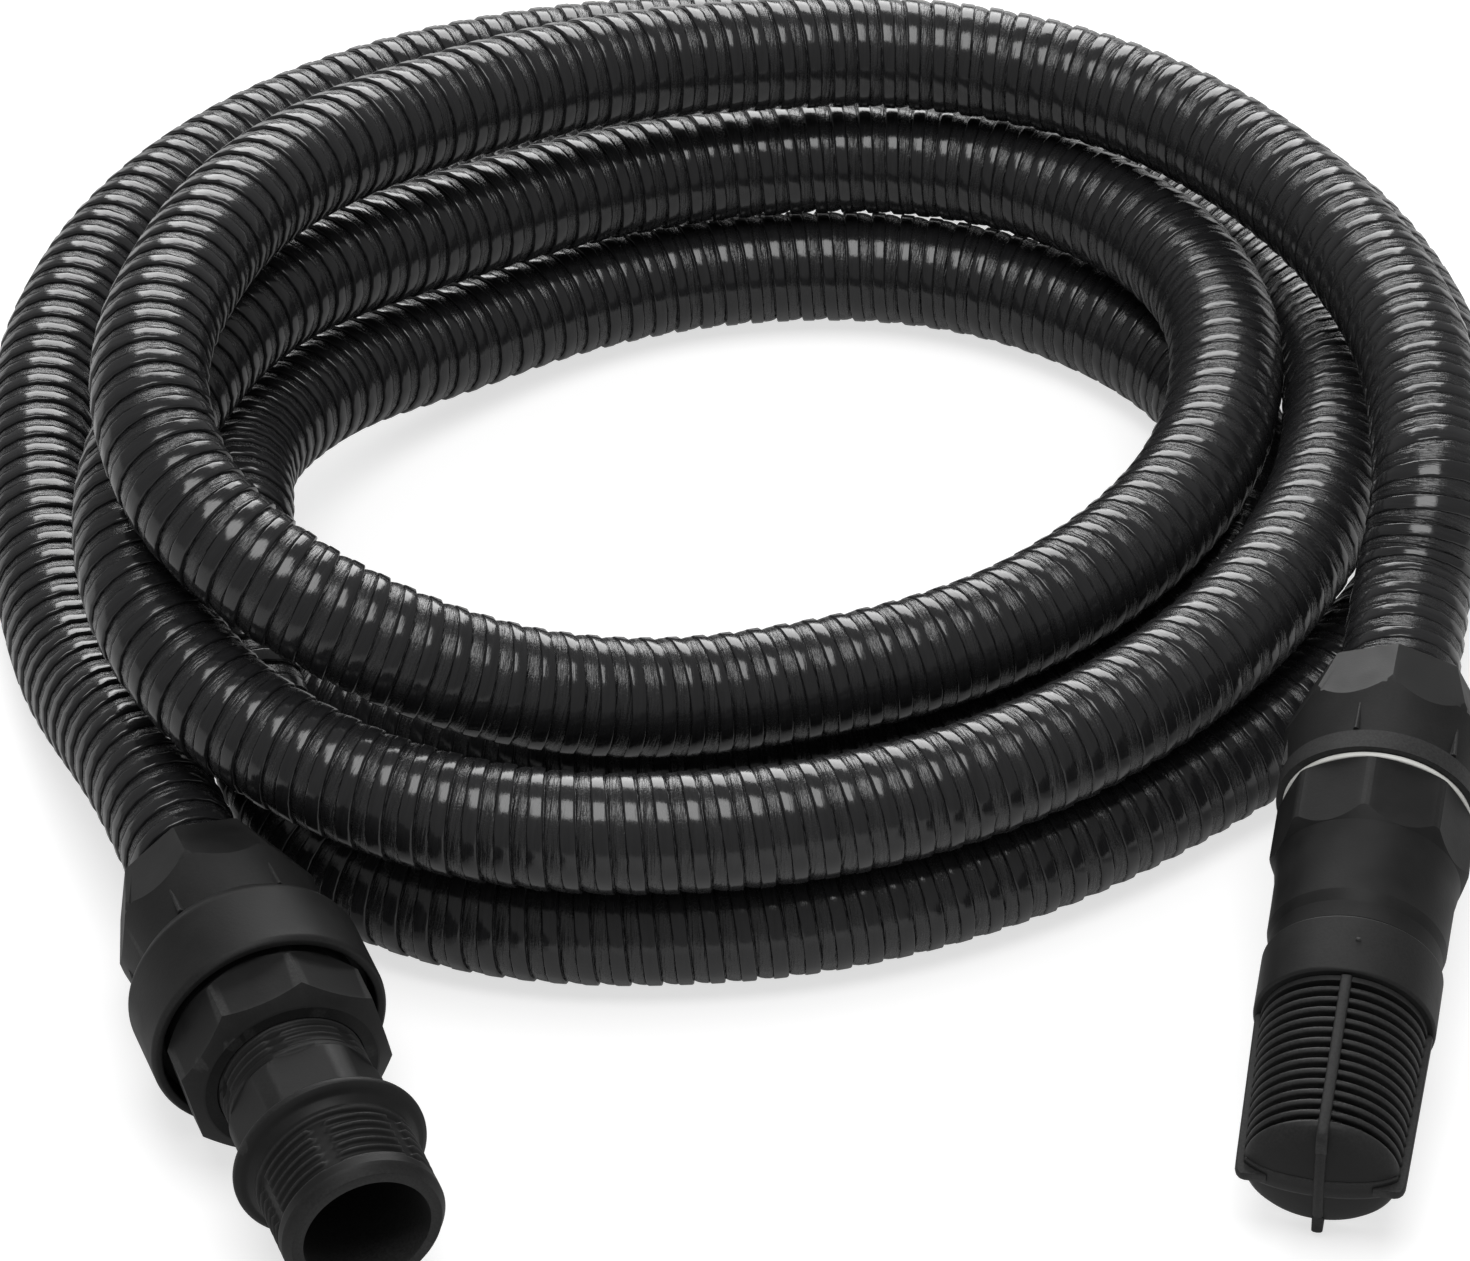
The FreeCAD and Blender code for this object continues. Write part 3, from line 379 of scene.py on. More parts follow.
def lathe(outline: Outline, columns: int, cut: range = range(0), sides: int = 0,
          phase: float = 0.0, flat: float = 0.0, growth: float = 0.0,
          relief: Relief | None = None) -> Shell:
    """Carries a closed outline of (radius, height) round the axis.

    The radius at angle a is the outline's own, and at a cut point it is at most
    (flat + growth * height) / cos(angle from the nearest flat's middle). Between two cut points
    each column gets one more point, exactly where the outline meets that plane.

    Args:
        outline: the closed outline, on the axis or clear of it.
        columns: points round the axis, an even number to each flat.
        cut: numbers of the outline's points that the flats cut.
        sides: flats round the axis, or 0 for none.
        phase: direction of one flat's middle, degrees.
        flat: distance of the flats from the axis at height 0.
        growth: how fast that distance grows with height.
        relief: a function of (angle, height, radius) that gives the final radius.

    Returns:
        The shell, its points in the fitting's own frame.
    """
    angles = math.radians(phase) + np.arange(columns) * (2 * math.pi / columns)
    if sides:
        wedge = 2 * math.pi / sides
        off = (angles - math.radians(phase) + wedge / 2) % wedge - wedge / 2
        secant = 1.0 / np.cos(off)
    rows_r, rows_z = [], []
    full = np.ones(columns)
    for k, (r0, z0) in enumerate(outline):
        r1, z1 = outline[(k + 1) % len(outline)]
        start = np.minimum(r0, (flat + growth * z0) * secant) if k in cut else r0 * full
        rows_r.append(start)
        rows_z.append(z0 * full)
        if k in cut and k + 1 in cut:
            over0, over1 = r0 - (flat + growth * z0) * secant, r1 - (flat + growth * z1) * secant
            cross = over0 * over1 < 0
            t = np.where(cross, over0 / np.where(cross, over0 - over1, 1.0), 0.0)
            rows_r.append(np.where(cross, r0 + (r1 - r0) * t, start))
            rows_z.append(z0 + (z1 - z0) * t)
    radius, height = np.array(rows_r), np.array(rows_z)
    around = np.broadcast_to(angles, radius.shape)
    if relief is not None:
        radius = relief(around, height, radius)
    points = np.stack([radius * np.cos(around), radius * np.sin(around), height], axis=-1)
    return Shell(points.reshape(-1, 3), grid_quads(len(radius), columns, True, True))


def loft(rings: list[np.ndarray], first: np.ndarray, last: np.ndarray) -> Shell:
    """A closed form skinned over rings of points, each end fanned from a middle point.

    Args:
        rings: the rings, all of as many points.
        first: middle of the first end.
        last: middle of the last end.

    Returns:
        The shell.
    """
    shape = rings[0].shape
    rows = [np.broadcast_to(first, shape), *rings, np.broadcast_to(last, shape)]
    return Shell(np.vstack(rows), grid_quads(len(rows), shape[0], False, True))


def prism(outline: np.ndarray, low: np.ndarray, high: np.ndarray) -> Shell:
    """A closed bar: an outline of (n, 2) points carried from one frame to another.

    Args:
        outline: points across the bar.
        low: rows origin, first direction, second direction of the starting end.
        high: the same of the finishing end.

    Returns:
        The shell.
    """
    rings = [end[0] + outline[:, :1] * end[1] + outline[:, 1:] * end[2] for end in (low, high)]
    return loft(rings, low[0], high[0])


def directions(degrees: float) -> tuple[np.ndarray, np.ndarray]:
    """Unit vectors away from the axis and round it, at an angle round the axis."""
    turn = math.radians(degrees)
    out = np.array([math.cos(turn), math.sin(turn), 0.0])
    return out, np.array([-out[1], out[0], 0.0])


def rounded_box(width: float, depth: float, corner: float) -> np.ndarray:
    """Outline of a rectangle about its middle, each corner cut to three points.

    Args:
        width: its width.
        depth: its depth.
        corner: length taken from each side of a corner.

    Returns:
        Twelve (x, y) points.
    """
    x, y, c = width / 2, depth / 2, corner
    k = c * 0.3
    return np.array([
        (x, y - c), (x - k, y - k), (x - c, y), (c - x, y), (k - x, y - k), (-x, y - c),
        (-x, c - y), (k - x, k - y), (c - x, -y), (x - c, -y), (x - k, k - y), (x, c - y)])


def fill_mesh(mesh: bpy.types.Mesh, points: np.ndarray, quads: np.ndarray) -> None:
    """Puts points in metres and quads into an empty mesh, smooth shaded.

    Args:
        mesh: the mesh.
        points: (n, 3) points.
        quads: (m, 4) point numbers.
    """
    mesh.vertices.add(len(points))
    mesh.vertices.foreach_set("co", points.astype(np.float32).ravel())
    mesh.loops.add(quads.size)
    mesh.loops.foreach_set("vertex_index", quads.astype(np.int32).ravel())
    mesh.polygons.add(len(quads))
    mesh.polygons.foreach_set("loop_start", np.arange(0, quads.size, 4, dtype=np.int32))
    mesh.update(calc_edges=True)
    mesh.polygons.foreach_set("use_smooth", np.ones(len(quads), dtype=bool))


def link(name: str, data: bpy.types.ID) -> bpy.types.Object:
    """Makes an object of a mesh, light or camera and links it to the scene.

    Args:
        name: the object's name.
        data: what it shows.

    Returns:
        The object.
    """
    thing = bpy.data.objects.new(name, data)
    bpy.context.scene.collection.objects.link(thing)
    return thing


def add_object(name: str, mesh: bpy.types.Mesh, finish: Finish, body: str, slot: str,
               replaces: tuple[str, ...] = ()) -> bpy.types.Object:
    """Args:
        name: the piece's name.
        mesh: its mesh, in place.
        finish: its finish.
        body: the body it rides on.
        slot: the record's material slot; not used.
        replaces: CAD nodes it stands for.

    Returns:
        The object.
    """
    piece = link(name, mesh)
    mesh.materials.append(MATERIALS[finish])
    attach(piece, body)
    if replaces:
        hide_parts(*replaces)
    LOG.info("%s: %d faces on %s", name, len(mesh.polygons), body)
    return piece


@dataclass(frozen=True)
class Axis:
    """Where a fitting lies: the rim of its hose nut, and the way the fitting points from there."""

    x: float
    y: float
    height: float
    heading: float
    tilt: float

    def way(self) -> np.ndarray:
        """Unit vector along the fitting, away from the hose."""
        turn, dip = math.radians(self.heading), math.radians(self.tilt)
        return np.array([math.cos(dip) * math.cos(turn), math.cos(dip) * math.sin(turn),
                         -math.sin(dip)])

    def rim(self) -> np.ndarray:
        """The nut's rim in the part's frame, millimetres."""
        return np.array([self.x, self.y, self.height]) + FRAME_SHIFT

    def place(self, points: np.ndarray) -> np.ndarray:
        """Lays points of the fitting's own frame: first axis level, third along the fitting.

        Args:
            points: (n, 3) points in millimetres.

        Returns:
            The points in the part's frame, in metres.
        """
        way = self.way()
        side = np.cross(UP, way)
        side /= np.linalg.norm(side)
        up = np.cross(way, side)
        return (self.rim() + points @ np.array([side, up, way])) * MM

    def piece(self, name: str, shell: Shell, body: str, node: str, edge: float = 0.0,
              finish: Finish = Finish.FITTING, slot: str = "fitting_plastic") -> bpy.types.Object:
        """Makes a piece of the fitting from a shell, poles merged and faces turned outwards.

        Args:
            name: the piece's name.
            shell: its points and quads.
            body: the body it rides on.
            node: the CAD node it stands for.
            edge: width of the rounding of its sharp edges in millimetres, or 0 for none.
            finish: its finish.
            slot: the record's material slot.

        Returns:
            The object.
        """
        mesh = bpy.data.meshes.new(name)
        fill_mesh(mesh, self.place(shell.points), shell.quads)
        work = bmesh.new()
        work.from_mesh(mesh)
        bmesh.ops.remove_doubles(work, verts=work.verts, dist=MERGE_MM * MM)
        bmesh.ops.dissolve_degenerate(work, dist=SLIVER_MM * MM, edges=work.edges)
        bmesh.ops.recalc_face_normals(work, faces=work.faces)
        work.to_mesh(mesh)
        work.free()
        piece = add_object(name, mesh, finish, body, slot, (node,))
        if edge:
            bevel = piece.modifiers.new("edge rounding", "BEVEL")
            bevel.width = edge * MM
            bevel.segments = 2
            bevel.limit_method = "ANGLE"
            bevel.angle_limit = math.radians(ROUNDED_ANGLE)
            mesh.set_sharp_from_angle(angle=math.radians(SHARP_ANGLE))
        weigh = piece.modifiers.new("flat faces stay flat", "WEIGHTED_NORMAL")
        weigh.weight = 60
        weigh.keep_sharp = True
        return piece


# the hose

# The coil, wound clockwise from the pump end: degrees round the axis, reach from the axis, height.
# Some points lie up to 13 mm off the solid's, where that follows the photograph closer.
STATIONS = np.array([
    (556, 148.8, 12.6), (540, 151.2, 12.6), (495, 176, 12.6), (450, 176.3, 12.6), (405, 178, 12.6),
    (360, 156.5, 12.6), (315, 130.5, 12.6), (270, 133, 12.6), (247.5, 141, 12.8), (236, 143.5, 15),
    (225, 135.5, 23.5), (214, 126, 34.5), (202.5, 113, 39.5),
    (180, 105.5, 30), (157.5, 93.5, 22.5), (135, 84.5, 15.5), (90, 88, 12.6), (45, 106, 12.6),
    (22.5, 114.5, 12.6), (0, 112, 12.6), (-45, 90, 12.6), (-90, 87, 12.6), (-135, 102, 12.6),
    (-157.5, 118.5, 12.6), (-180, 125, 12.6), (-225, 134, 12.6), (-270, 138, 12.6),
    (-315, 148, 13.5), (-337.5, 140.5, 24.5), (-360, 132, 35.5), (-405, 127, 39.5),
    (-450, 135, 39.5), (-472.5, 144, 41), (-495, 150, 49), (-506, 147, 55), (-517.5, 136, 58.5),
    (-540, 113, 57), (-585, 89, 43.5), (-630, 95.5, 37.2), (-675, 114, 37.6), (-697.5, 115, 38.6),
    (-720, 106, 39.3), (-765, 91.5, 39.3), (-810, 93, 40.2), (-832.5, 110.5, 49), (-855, 133, 71),
    (-866, 137, 80), (-877.5, 131, 86), (-900, 112, 85), (-945, 91, 74.5), (-990, 96, 66.5),
    (-1012, 109.5, 63.6), (-1035, 124.5, 61.2), (-1057.5, 135, 60.6), (-1080, 146, 60.5),
    (-1095, 152.5, 57),
])


def hermite(u: np.ndarray, start: np.ndarray, slope: np.ndarray, end: np.ndarray,
            end_slope: np.ndarray) -> np.ndarray:
    """The cubic from start to end as u goes from 0 to 1, with a given slope at each end."""
    return ((2 * u**3 - 3 * u**2 + 1) * start + (u**3 - 2 * u**2 + u) * slope
            + (3 * u**2 - 2 * u**3) * end + (u**3 - u**2) * end_slope)


@dataclass
class Hose:
    """The hose: a satin wall, and wound round it a glossy rib and the softer web between its turns.

    A section is a row of (place along the hose from the rib's middle, radius) in millimetres.
    """

    pump: Axis
    suction: Axis
    wall: float = 11.6
    bore: float = 9.5
    pitch: float = 6.2
    rib_section: Outline = (
        (-1.62, 11.3), (-1.5, 12.2), (-1.3, 12.44), (-1.1, 12.5), (1.1, 12.5), (1.3, 12.44),
        (1.5, 12.2), (1.62, 11.3))
    web_section: Outline = (
        (1.45, 11.3), (1.56, 12.24), (2.1, 12.3), (3.1, 12.2), (4.0, 11.96), (4.5, 11.7),
        (4.68, 11.3))
    depth: float = 19.4  # how far it reaches into a fitting
    lead: float = 25.0  # its straight run before a nut
    coil_x: float = 0.0
    coil_y: float = 25.0
    points_per_turn: int = 36  # of the route
    winding_steps: int = 20  # of a turn of rib or web
    wall_step: float = 4.4  # from one ring of the wall to the next
    wall_columns: int = 26

    def slopes(self, column: int) -> np.ndarray:
        """Slope of reach (1) or height (2) at each station; a height never overshoots.

        Args:
            column: which of the stations' values.

        Returns:
            The slopes: means of the neighbouring rates, harmonic means for heights.
        """
        rates = np.diff(STATIONS[:, column]) / np.diff(STATIONS[:, 0])
        before, after = rates[:-1], rates[1:]
        if column == 1:
            inner = (before + after) / 2
        else:
            same = before * after > 0
            inner = np.where(same, 2 * before * after / np.where(same, before + after, 1.0), 0.0)
        return np.concatenate([rates[:1], inner, rates[-1:]])

    def coil(self) -> np.ndarray:
        """Points of the coil, evenly spread by angle, on cubics through the stations.

        Returns:
            (n, 3) points in the part's frame, millimetres.
        """
        place = STATIONS[:, 0]
        count = int((place[0] - place[-1]) / 360 * self.points_per_turn)
        angles = np.linspace(place[0], place[-1], count + 1)
        k = np.clip(np.searchsorted(-place, -angles, side="right") - 1, 0, len(place) - 2)
        width = place[k + 1] - place[k]
        u = (angles - place[k]) / width
        values = []
        for column in (1, 2):
            slope, value = self.slopes(column), STATIONS[:, column]
            values.append(hermite(u, value[k], width * slope[k],
                                  value[k + 1], width * slope[k + 1]))
        turn = np.radians(angles)
        centre = np.array([self.coil_x, self.coil_y, 0.0]) + FRAME_SHIFT
        return centre + np.stack([values[0] * np.cos(turn), values[0] * np.sin(turn), values[1]],
                                 axis=-1)

    @staticmethod
    def bridge(start: np.ndarray, way: np.ndarray, end: np.ndarray, end_way: np.ndarray,
               parts: int = 12) -> np.ndarray:
        """Points of a smooth bend from one straight to the next, with both end directions.

        Args:
            start: first point.
            way: direction there.
            end: last point.
            end_way: direction there.
            parts: parts that the bend is cut into.

        Returns:
            The points between the ends.
        """
        reach = np.linalg.norm(end - start)
        u = (np.arange(1, parts) / parts)[:, None]
        return hermite(u, start, way * reach, end, end_way * reach)

    def route(self) -> np.ndarray:
        """The route's points: straight, bend, coil, bend, straight.

        Returns:
            (n, 3) points in the part's frame, millimetres.
        """
        coil = self.coil()
        leave = (coil[1] - coil[0]) / np.linalg.norm(coil[1] - coil[0])
        arrive = (coil[-1] - coil[-2]) / np.linalg.norm(coil[-1] - coil[-2])
        pump_rim, pump_way = self.pump.rim(), self.pump.way()
        suction_rim, suction_way = self.suction.rim(), self.suction.way()
        pump_lead = pump_rim - pump_way * self.lead
        suction_lead = suction_rim - suction_way * self.lead
        return np.vstack([
            pump_rim + pump_way * self.depth, pump_rim, pump_lead,
            self.bridge(pump_lead, -pump_way, coil[0], leave), coil,
            self.bridge(coil[-1], arrive, suction_lead, suction_way),
            suction_lead, suction_rim, suction_rim + suction_way * self.depth,
        ])

    def line(self) -> np.ndarray:
        """The smooth line that the hose follows: a NURBS spline with the route as its control.

        Returns:
            (n, 3) points along it, metres.
        """
        route = self.route() * MM
        curve = bpy.data.curves.new("hose_line", "CURVE")
        curve.dimensions = "3D"
        spline = curve.splines.new("NURBS")
        spline.points.add(len(route) - 1)
        spline.points.foreach_set("co", np.column_stack([route, np.ones(len(route))]).ravel())
        spline.order_u = 3
        spline.use_endpoint_u = True
        spline.resolution_u = 8
        holder = bpy.data.objects.new("hose_line", curve)
        mesh = bpy.data.meshes.new_from_object(holder)
        points = np.zeros(len(mesh.vertices) * 3)
        mesh.vertices.foreach_get("co", points)
        bpy.data.objects.remove(holder)
        bpy.data.curves.remove(curve)
        bpy.data.meshes.remove(mesh)
        return points.reshape(-1, 3)

    @staticmethod
    def frames(line: np.ndarray, marks: np.ndarray) -> tuple[np.ndarray, np.ndarray, np.ndarray]:
        """Point, level side and upper side of the line at lengths along it.

        Args:
            line: the line's points.
            marks: lengths along it, in the line's unit.

        Returns:
            Three (n, 3) arrays.
        """
        steps = np.linalg.norm(np.diff(line, axis=0), axis=1)
        apart = steps > 1e-9
        line, steps = line[np.concatenate([[True], apart])], steps[apart]
        run = np.concatenate([[0.0], np.cumsum(steps)])
        ways = np.gradient(line, run, axis=0)
        point = np.stack([np.interp(marks, run, line[:, k]) for k in range(3)], axis=-1)
        way = np.stack([np.interp(marks, run, ways[:, k]) for k in range(3)], axis=-1)
        way /= np.linalg.norm(way, axis=1, keepdims=True)
        side = np.cross(UP, way)
        side /= np.linalg.norm(side, axis=1, keepdims=True)
        return point, side, np.cross(way, side)

    def skin(self, name: str, line: np.ndarray, around: np.ndarray, reach: np.ndarray,
             marks: np.ndarray, quads: np.ndarray) -> bpy.types.Mesh:
        """A closed mesh wrapped round the line, with its straightened places as "unrolled".

        A point lies at its mark along the line, its reach away from it and its angle round it.
        The straightened place is the same with the hose along the third axis.

        Args:
            name: the mesh's name.
            line: the smooth line, metres.
            around: angles round the line.
            reach: distances from it, millimetres.
            marks: lengths along it, millimetres.
            quads: point numbers.

        Returns:
            The mesh, its faces outwards.
        """
        point, side, up = self.frames(line, marks * MM)
        spread = side * np.cos(around)[:, None] + up * np.sin(around)[:, None]
        mesh = bpy.data.meshes.new(name)
        fill_mesh(mesh, point + spread * (reach * MM)[:, None], quads)
        straight = np.column_stack([reach * np.cos(around), reach * np.sin(around), marks]) * MM
        layer = mesh.attributes.new("unrolled", "FLOAT_VECTOR", "POINT")
        layer.data.foreach_set("vector", straight.astype(np.float32).ravel())
        work = bmesh.new()
        work.from_mesh(mesh)
        if work.calc_volume(signed=True) < 0:
            bmesh.ops.reverse_faces(work, faces=work.faces)
        work.to_mesh(mesh)
        work.free()
        return mesh

    def tube(self, name: str, line: np.ndarray, length: float) -> bpy.types.Mesh:
        """The hose's wall: rings carried along the line, the outer skin there and the bore back.

        Args:
            name: the mesh's name.
            line: the smooth line, metres.
            length: its length, millimetres.

        Returns:
            The mesh, closed at both ends between skin and bore.
        """
        marks = np.linspace(0.0, length, int(length / self.wall_step) + 1)
        reach = np.repeat([self.wall, self.bore], len(marks))
        marks = np.concatenate([marks, marks[::-1]])
        columns = self.wall_columns
        turn = np.arange(columns) * 2 * math.pi / columns
        return self.skin(name, line, np.tile(turn, len(marks)), np.repeat(reach, columns),
                         np.repeat(marks, columns), grid_quads(len(marks), columns, True, True))

    def winding(self, name: str, line: np.ndarray, length: float,
                section: Outline) -> bpy.types.Mesh:
        """A closed section carried round and along the hose as a right-hand helix.

        At angle a the section's origin lies pitch * a / 360 degrees along the line, and each of
        its points at its own radius from the line. The section's ends lie in the wall.

        Args:
            name: the mesh's name.
            line: the smooth line, metres.
            length: its length, millimetres.
            section: the section's points.

        Returns:
            The mesh.
        """
        across, radius = np.array(section).T
        turns = (length - 3 * self.pitch) / self.pitch
        count = int(turns * self.winding_steps) + 1
        angle = np.arange(count) * 2 * math.pi / self.winding_steps
        middle = self.pitch + angle / (2 * math.pi) * self.pitch
        width = len(across)
        cap = np.array([[0, k, k + 1, min(k + 2, width - 1)] for k in range(1, width - 1, 2)])
        quads = np.vstack([grid_quads(count, width, False, True), cap[:, ::-1],
                           cap + (count - 1) * width])
        return self.skin(name, line, np.repeat(angle, width), np.tile(radius, count),
                         (middle[:, None] + across).ravel(), quads)

    def build(self, fittings: list[bpy.types.Object]) -> None:
        """Args:
            fittings: the pieces on the hose's far end; not used.
        """
        line = self.line()
        length = float(np.linalg.norm(np.diff(line, axis=0), axis=1).sum()) / MM
        LOG.info("hose length %.0f mm", length)
        wall_piece = add_object("hose_wall", self.tube("hose_wall", line, length), Finish.WALL,
                                "hose", "hose_plastic", ("hose",))
        for name, section, finish in (("hose_rib", self.rib_section, Finish.RIB),
                                      ("hose_web", self.web_section, Finish.WEB)):
            mesh = self.winding(name, line, length, section)
            add_object(name, mesh, finish, "hose", "hose_plastic")
        start = self.pump.rim() * MM


# the fittings

def ring_wave(height: np.ndarray, pitch: float, angle: np.ndarray) -> np.ndarray:
    """A thread's cross section from 0 at its root to 1 at its crest, right-handed.

    The value is a triangle wave of height minus pitch times the turn, clipped above and below:
    the crest is 0.09 of the pitch wide and the root 0.45.
    """
    phase = (height / pitch - angle / (2 * math.pi)) % 1.0
    return np.clip(1.2 - 4.4 * np.abs(phase - 0.5), 0.0, 1.0)


def near(angle: np.ndarray, centre: float, half: float, soft: float) -> np.ndarray:
    """1 within half degrees of a direction, falling to 0 over soft degrees more."""
    off = np.abs((np.degrees(angle) - centre + 180.0) % 360.0 - 180.0)
    return np.clip((half + soft - off) / soft, 0.0, 1.0)


def between(height: np.ndarray, low: float, high: float, soft: float) -> np.ndarray:
    """1 between two heights, falling to 0 over soft millimetres beyond each."""
    return (np.clip((height - low + soft) / soft, 0.0, 1.0)
            * np.clip((high + soft - height) / soft, 0.0, 1.0))


def dense(radius: float, low: float, high: float, step: float) -> Outline:
    """Points of an outline's stretch along the axis, a step apart at most."""
    count = max(2, int(math.ceil((high - low) / step)) + 1)
    return [(radius, float(z)) for z in np.linspace(low, high, count)]


@dataclass
class HoseNut:
    """The nut that squeezes the clamp ring: eight slanting facets, a round skirt with grips."""

    axis: Axis
    name: str
    node: str
    body: str
    facet_turn: float
    grip_turn: float
    mouth: float = 13.0
    rim: float = 16.0
    skirt: float = 20.45
    length: float = 26.5
    thread: float = 15.1
    thread_end: float = 17.7
    recess: float = 16.5
    grips: int = 6
    facet_start: float = 15.9
    facet_growth: float = 0.31
    edge: float = 0.22

    def shape(self) -> Shell:
        """The nut: a turned outline whose back is cut by eight slanting planes, and six grips.

        A grip is a low ridge on the skirt, highest at its front end.

        Returns:
            The shell.
        """
        skirt, end = self.skirt, self.length
        outline = [
            (self.mouth, 0.0), (self.rim - 0.4, 0.0), (self.rim + 1.2, 0.5), (skirt + 0.8, 5.0),
            (skirt + 0.8, 14.0), (skirt - 0.4, end - 0.5), (skirt - 0.9, end), (self.recess, end),
            (self.recess, self.thread_end), (self.thread, self.thread_end), (self.thread, 4.0),
            (self.mouth, 4.0)]
        shell = lathe(outline, FACETED, range(2, 6), sides=8, phase=self.facet_turn,
                      flat=self.facet_start, growth=self.facet_growth)
        section = np.array([(-0.8, -0.6), (0.8, -0.6), (0.5, 0.5), (0.2, 0.85), (-0.2, 0.85),
                            (-0.5, 0.5)])
        for k in range(self.grips):
            out, over = directions(self.grip_turn + 360 / self.grips * k)
            low = np.array([out * (skirt - 0.55) + UP * 14.5, over * 0.5, out * 0.6])
            high = np.array([out * (skirt - 0.1) + UP * (end - 0.3), over, out])
            shell = shell + prism(section, low, high)
        return shell

    def build(self) -> bpy.types.Object:
        """Makes the nut."""
        return self.axis.piece(self.name, self.shape(), self.body, self.node, self.edge)


@dataclass
class PumpEnd:
    """The pump end: hose nut, union collar, octagonal union nut and threaded nipple."""

    axis: Axis
    collar_back: float = 26.9
    collar_length: float = 19.6
    collar_seat: float = 35.9
    octagon_start: float = 42.4
    octagon_length: float = 19.2
    octagon_flat: float = 20.4
    octagon_turn: float = 12.5
    flange_start: float = 37.6
    neck_start: float = 41.6
    neck: float = 15.2
    neck_rings: tuple[float, float] = (62.2, 68.0)
    neck_pitch: float = 1.95
    neck_depth: float = 0.55
    neck_step: float = 0.24
    wrench_start: float = 69.4
    wrench_flat: float = 14.6
    wrench_turn: float = 36.0
    stop_start: float = 84.0
    bore: float = 12.9
    thread_start: float = 86.6
    thread_length: float = 21.5
    thread_crest: float = 16.62
    thread_pitch: float = 2.31
    thread_depth: float = 1.05
    thread_step: float = 0.26
    strips: int = 6
    strip_turn: float = 106.0
    strip_half: float = 4.5
    strip_soft: float = 2.5

    def collar(self) -> Shell:
        """The union collar: a turned outline with a tapered back and a thin front lip.

        Returns:
            The shell.
        """
        back, front = self.collar_back, self.collar_back + self.collar_length + 1.5
        outline = [
            (12.1, back), (20.9, back), (21.6, back + 0.5), (24.3, back + 4.2),
            (24.5, back + 5.0), (24.5, front - 0.9), (23.9, front), (22.6, front),
            (22.3, front - 0.3), (22.3, 42.1), (20.1, 42.1), (20.1, self.collar_seat),
            (12.1, self.collar_seat)]
        return lathe(soften(outline, 0.35), TURNED)

    def union_nut(self) -> Shell:
        """The union nut: a spigot, then an octagon chamfered by a cone at either end.

        Returns:
            The shell.
        """
        start, end = self.octagon_start, self.octagon_start + self.octagon_length
        outline = [
            (17.6, 36.0), (20.0, 36.0), (20.0, start), (20.3, start + 0.1), (20.3, start + 4.6),
            (22.1, start + 7.2), (22.1, end - 3.0), (19.0, end - 0.7), (18.3, end - 0.2),
            (17.9, end), (15.4, end), (15.4, 41.7), (17.6, 41.7)]
        return lathe(outline, FACETED, range(3, 8), sides=8, phase=self.octagon_turn,
                     flat=self.octagon_flat)

    def nipple_relief(self, angle: np.ndarray, height: np.ndarray,
                      radius: np.ndarray) -> np.ndarray:
        """Sinks the threads into the nipple: crests stand, roots lie lower, smooth strips between.

        Radius = outline radius minus the thread's depth where no crest stands, and in a smooth
        strip no crest stands. Only the outside of the nipple is touched.

        Args:
            angle: angles round the axis.
            height: heights along it.
            radius: the outline's radii.

        Returns:
            The final radii.
        """
        strips = np.zeros_like(angle)
        for k in range(self.strips):
            strips = np.maximum(strips, near(angle, self.strip_turn + 360 / self.strips * k,
                                             self.strip_half, self.strip_soft))
        tip = self.thread_start + self.thread_length
        male = between(height, self.thread_start + 3.9, tip - 5.1, 0.6)
        crest = ring_wave(height, self.thread_pitch, angle) * (1 - strips)
        sunk = radius - self.thread_depth * male * (1 - crest)
        rings = between(height, *self.neck_rings, 0.3)
        crest = ring_wave(height, self.neck_pitch, angle) * (1 - 0.9 * strips)
        sunk = sunk - self.neck_depth * rings * (1 - crest)
        return np.where(radius > self.wrench_flat, sunk, radius)

    def nipple(self) -> Shell:
        """The nipple: flange, neck with fine rings, six wrench faces, stop flange, pipe thread.

        Returns:
            The shell.
        """
        neck, crest, bore = self.neck, self.thread_crest, self.bore
        tip = self.thread_start + self.thread_length
        wrench, stop = self.wrench_start, self.stop_start
        outline = [(bore, self.flange_start), (17.5, self.flange_start),
                   (17.5, self.neck_start), (neck, self.neck_start)]
        outline += dense(neck, self.neck_start + 0.4, wrench - 0.6, self.neck_step)
        outline.append((neck, wrench))
        first = len(outline)
        outline += [(neck, wrench), (15.9, wrench + 0.9), (15.9, stop - 0.3), (15.7, stop)]
        cut = range(first, len(outline))
        outline += soften([(15.7, stop), (18.9, stop), (19.8, stop + 0.7), (19.8, stop + 1.8),
                           (18.8, stop + 2.6), (17.6, stop + 3.1), (crest, stop + 4.6)],
                          0.3, closed=False)
        outline += dense(crest, stop + 5.0, tip - 2.2, self.thread_step)
        outline += [(crest - 0.4, tip - 1.6), (crest - 1.3, tip - 0.1), (crest - 1.6, tip),
                    (bore + 0.2, tip), (bore, tip - 0.2)]
        return lathe(outline, FACETED, cut, sides=6, phase=self.wrench_turn,
                     flat=self.wrench_flat, relief=self.nipple_relief)

    def build(self) -> None:
        """Makes the pump end's outer pieces."""
        HoseNut(self.axis, "pump_nut_moulded", "pump_hose_nut", "pump_nut",
                facet_turn=37.5, grip_turn=2.0).build()
        piece = self.axis.piece
        piece("union_collar_moulded", self.collar(), "hose", "union_collar")
        piece("union_nut_moulded", self.union_nut(), "union_nut", "union_nut", edge=0.3)
        piece("pump_nipple_moulded", self.nipple(), "nipple", "pump_nipple")


